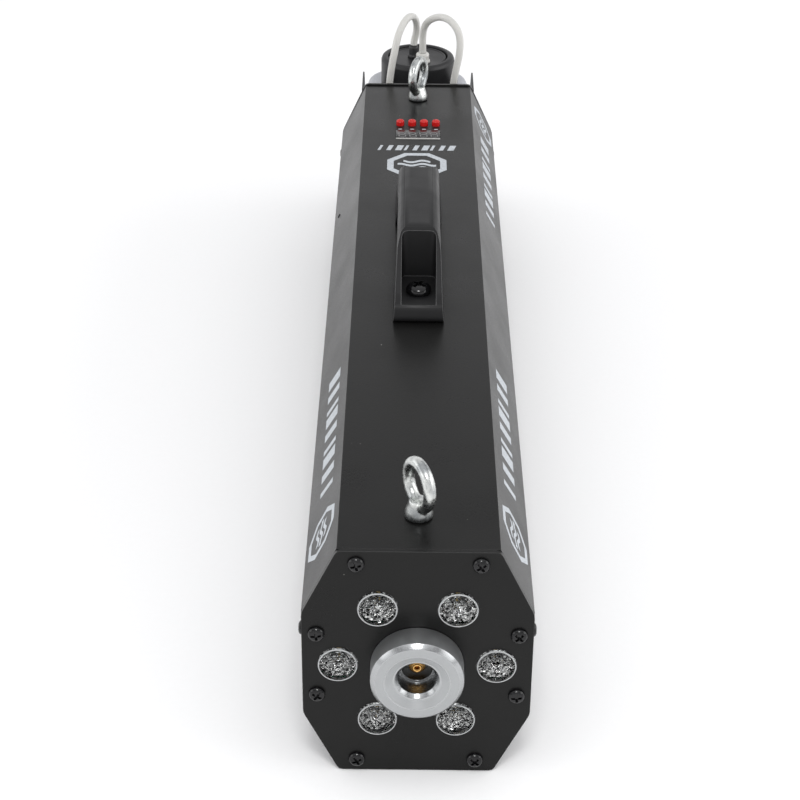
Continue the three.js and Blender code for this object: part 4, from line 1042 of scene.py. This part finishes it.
def make_prints():
    def on_top(u, v, lift):
        return (u, v, HEIGHT + lift)

    def on_chamfer(side):
        def spot(u, v, lift):
            x, y, z = chamfer_point(side, u, v)
            return (x + side * lift * CHAMFER_DROP / CHAMFER_SPAN, y, z + lift * CHAMFER_RUN / CHAMFER_SPAN)
        return spot

    printed("top_badge", badge(**TOP_BADGE), on_top)
    printed("top_bars", bars(*TOP_BARS), on_top)
    half, front, rear = (BUTTON_MARK[k] for k in ("half_width", "front", "rear"))
    marks = [[(x - half, front), (x + half, front), (x + half, rear), (x - half, rear)] for x in BUTTON_X]
    printed("button_marks", marks, on_top)
    for name, side in (("left", -1), ("right", 1)):
        spot = on_chamfer(side)
        printed(f"front_badge_{name}", badge(SLOPE_BADGE_Y["front"], **SLOPE_BADGE), spot)
        printed(f"front_bars_{name}", bars(*FRONT_BARS), spot)
    printed("rear_badge_right", badge(SLOPE_BADGE_Y["rear"], **SLOPE_BADGE), on_chamfer(1))
    printed("rear_bars_right", bars(*REAR_BARS), on_chamfer(1))


# ---- tank and cap


def tank_outline(half_width, half_depth, corner, steps=10):
    spots = []
    for sx, sy, start in ((1, 1, 0), (-1, 1, 90), (-1, -1, 180), (1, -1, 270)):
        for k in range(steps):
            angle = math.radians(start + (k + 0.5) * 90 / steps)
            spots.append((sx * (half_width - corner) + corner * math.cos(angle),
                          TANK["y"] + sy * (half_depth - corner) + corner * math.sin(angle)))
    return spots


def make_tank():
    """A blown bottle: rounded base, soft shoulders and a round neck, open at the top.
    Each level holds half its width, half its depth, its corner radius and its height."""
    half, deep, bottom = TANK["half_width"], TANK["half_depth"], TANK["bottom"]
    shoulder, neck = TANK["shoulder"], TANK["neck"]
    levels = [(half - 9, deep - 9, 8, bottom), (half - 3, deep - 3, 11, bottom),
              (half - 1, deep - 1, 13, bottom + 1), (half, deep, 14, bottom + 3.4)]
    levels += [(half, deep, 14, bottom + 3.4 + k * 9) for k in range(1, 6)]
    steps = 8
    for k in range(steps + 1):
        turn = math.radians(k * 90 / steps)
        inset = 12 * (1 - math.cos(turn))
        levels.append((half - inset, deep - inset, 14 + inset / 6, shoulder - 13 + 13 * math.sin(turn)))
    top = TANK["neck_top"]
    collar = [(3, shoulder + 0.2), (0.8, shoulder + 0.8), (0, shoulder + 2), (0, top - 0.4), (-0.4, top)]
    levels += [(neck + extra, neck + extra, neck + extra, z) for extra, z in collar]
    points = [(x, y, level[3]) for level in levels for x, y in tank_outline(*level[:3])]
    around = len(points) // len(levels)
    faces = [list(range(around))]
    for level in range(len(levels) - 1):
        for k in range(around):
            following = (k + 1) % around
            low, high = level * around, (level + 1) * around
            faces.append([low + k, low + following, high + following, high + k])
    made = slotted("fluid_tank", mesh_of(points, faces), "milky_plastic", "case", ["tank"])
    wall = made.modifiers.new("wall", "SOLIDIFY")
    wall.thickness = TANK["wall"] * MM
    wall.offset = -1
    shade(made.data, 60)


def make_cap():
    c = CAP
    centre = (0, TANK["y"])
    profile = [
        (c["bore"], c["bottom"]), (c["radius"], c["bottom"]), (c["radius"], c["top"] - 3),
        (c["radius"] - 0.9, c["top"] - 0.9), (c["radius"] - 2.7, c["top"]), (c["lip"] + 0.6, c["top"]),
        (c["lip"], c["top"] - 0.6), (c["lip"], c["ledge"]), (c["bore"], c["ledge"]),
    ]
    ring = lathe(eased(profile, 0.4, 4, True), centre, "z", 128, True)
    slotted("screw_ring", ring, "cap_plastic", "cap_ring", ["cap_ring"])
    bottom, step, top = DISC["bottom"], DISC["step"], DISC["top"]
    profile = [(0, bottom), (22.9, bottom), (22.9, step), (21.9, step), (21.9, step + 0.2), (21, top),
               (19.6, top), (19.3, top - 0.35), (0, top - 0.35)]
    disc = lathe(eased(profile, 0.25, 3), centre, "z", 128)
    slotted("inner_disc", disc, "cap_plastic", "cap_insert", ["cap_disc"])


def make_barbs():
    """Hose tails through the cap, each with a flange and a stepped collar."""
    for name, (x, y), flange, collar, top, slot in (
            ("barb_feed", BARB_FEED, 5.6, 4.9, 140.5, "silicone"),
            ("barb_return", BARB_RETURN, 4.4, 3.5, 142.5, "black_plastic")):
        seat = DISC["top"] - 0.3
        profile = [(0, 122), (3.2, 122), (3.2, seat), (flange, seat), (flange, seat + 1.6),
                   (collar, seat + 2.2), (collar, top - 1.6), (collar - 0.5, top - 0.5), (3.1, top), (0, top)]
        slotted(name + "_tail", lathe(eased(profile, 0.3, 3), (x, y), "z", 40), slot, "cap_insert", [name])


# ---- contacts of the mains inlet


def make_inlet_contacts():
    wide, high = CONTACT["half_width"], CONTACT["half_height"]
    blades = [block(x - wide, x + wide, CONTACT["inner"], CONTACT["outer"], z - high, z + high)
              for x, z in CONTACTS]
    slotted("inlet_contacts", united([softened(blade, 0.3, 2) for blade in blades]), "brass", "case")


# ---- CAD nodes that stay

ROUNDED = {
    "top_cover": 0.5, "bottom_tray": 0.5, "front_plate": 0.35, "rear_plate": 0.35, "tank_cradle": 0.35,
    "power_inlet": 0.5, "fuse_drawer": 0.4, "switch_body": 0.4, "switch_rocker": 0.5, "pump_bracket": 0.3,
    "heater_bracket_front": 0.3, "heater_bracket_rear": 0.3, "eyebolt_nut_front": 0.4,
    "eyebolt_nut_rear": 0.4, "handle_nut_front": 0.4, "handle_nut_rear": 0.4,
}


def dress_cad_nodes():
    """Gives every CAD node its material, and rounds the edges of the sheet metal and mouldings."""
    for row in frame["record"]["subparts"]:
        node = frame["nodes"][row["node"]]
        for material_slot in node.material_slots:
            material_slot.material = MATERIALS[row["material_slot"]]
    for name, width in ROUNDED.items():
        node = frame["nodes"][name]
        weld = node.modifiers.new("weld", "WELD")
        weld.merge_threshold = 1e-6
        merge = node.modifiers.new("flats", "DECIMATE")
        merge.decimate_type = "DISSOLVE"
        merge.angle_limit = math.radians(1)
        bevel = node.modifiers.new("edges", "BEVEL")
        bevel.width = width * MM
        bevel.segments = 3
        bevel.angle_limit = math.radians(24)
        node.modifiers.new("normals", "WEIGHTED_NORMAL")


# ---- the scene

random.seed(7)
make_camera()
make_hose("feed_hose", "hose_feed", HOSE_FEED)
make_hose("return_hose", "hose_return", HOSE_RETURN)
make_elbow("elbow_feed", ELBOW["feed_x"])
make_elbow("elbow_return", ELBOW["return_x"])
make_world()
make_lights()
make_floor(plain_floor())
dress_cad_nodes()
make_ring()
make_nozzle()
make_lenses()
make_emitters()
make_screws()
make_handle()
make_eyebolts()
make_buttons()
make_display()
make_prints()
make_tank()
make_cap()
make_barbs()
make_inlet_contacts()
bpy.context.scene.view_settings.view_transform = "Standard"
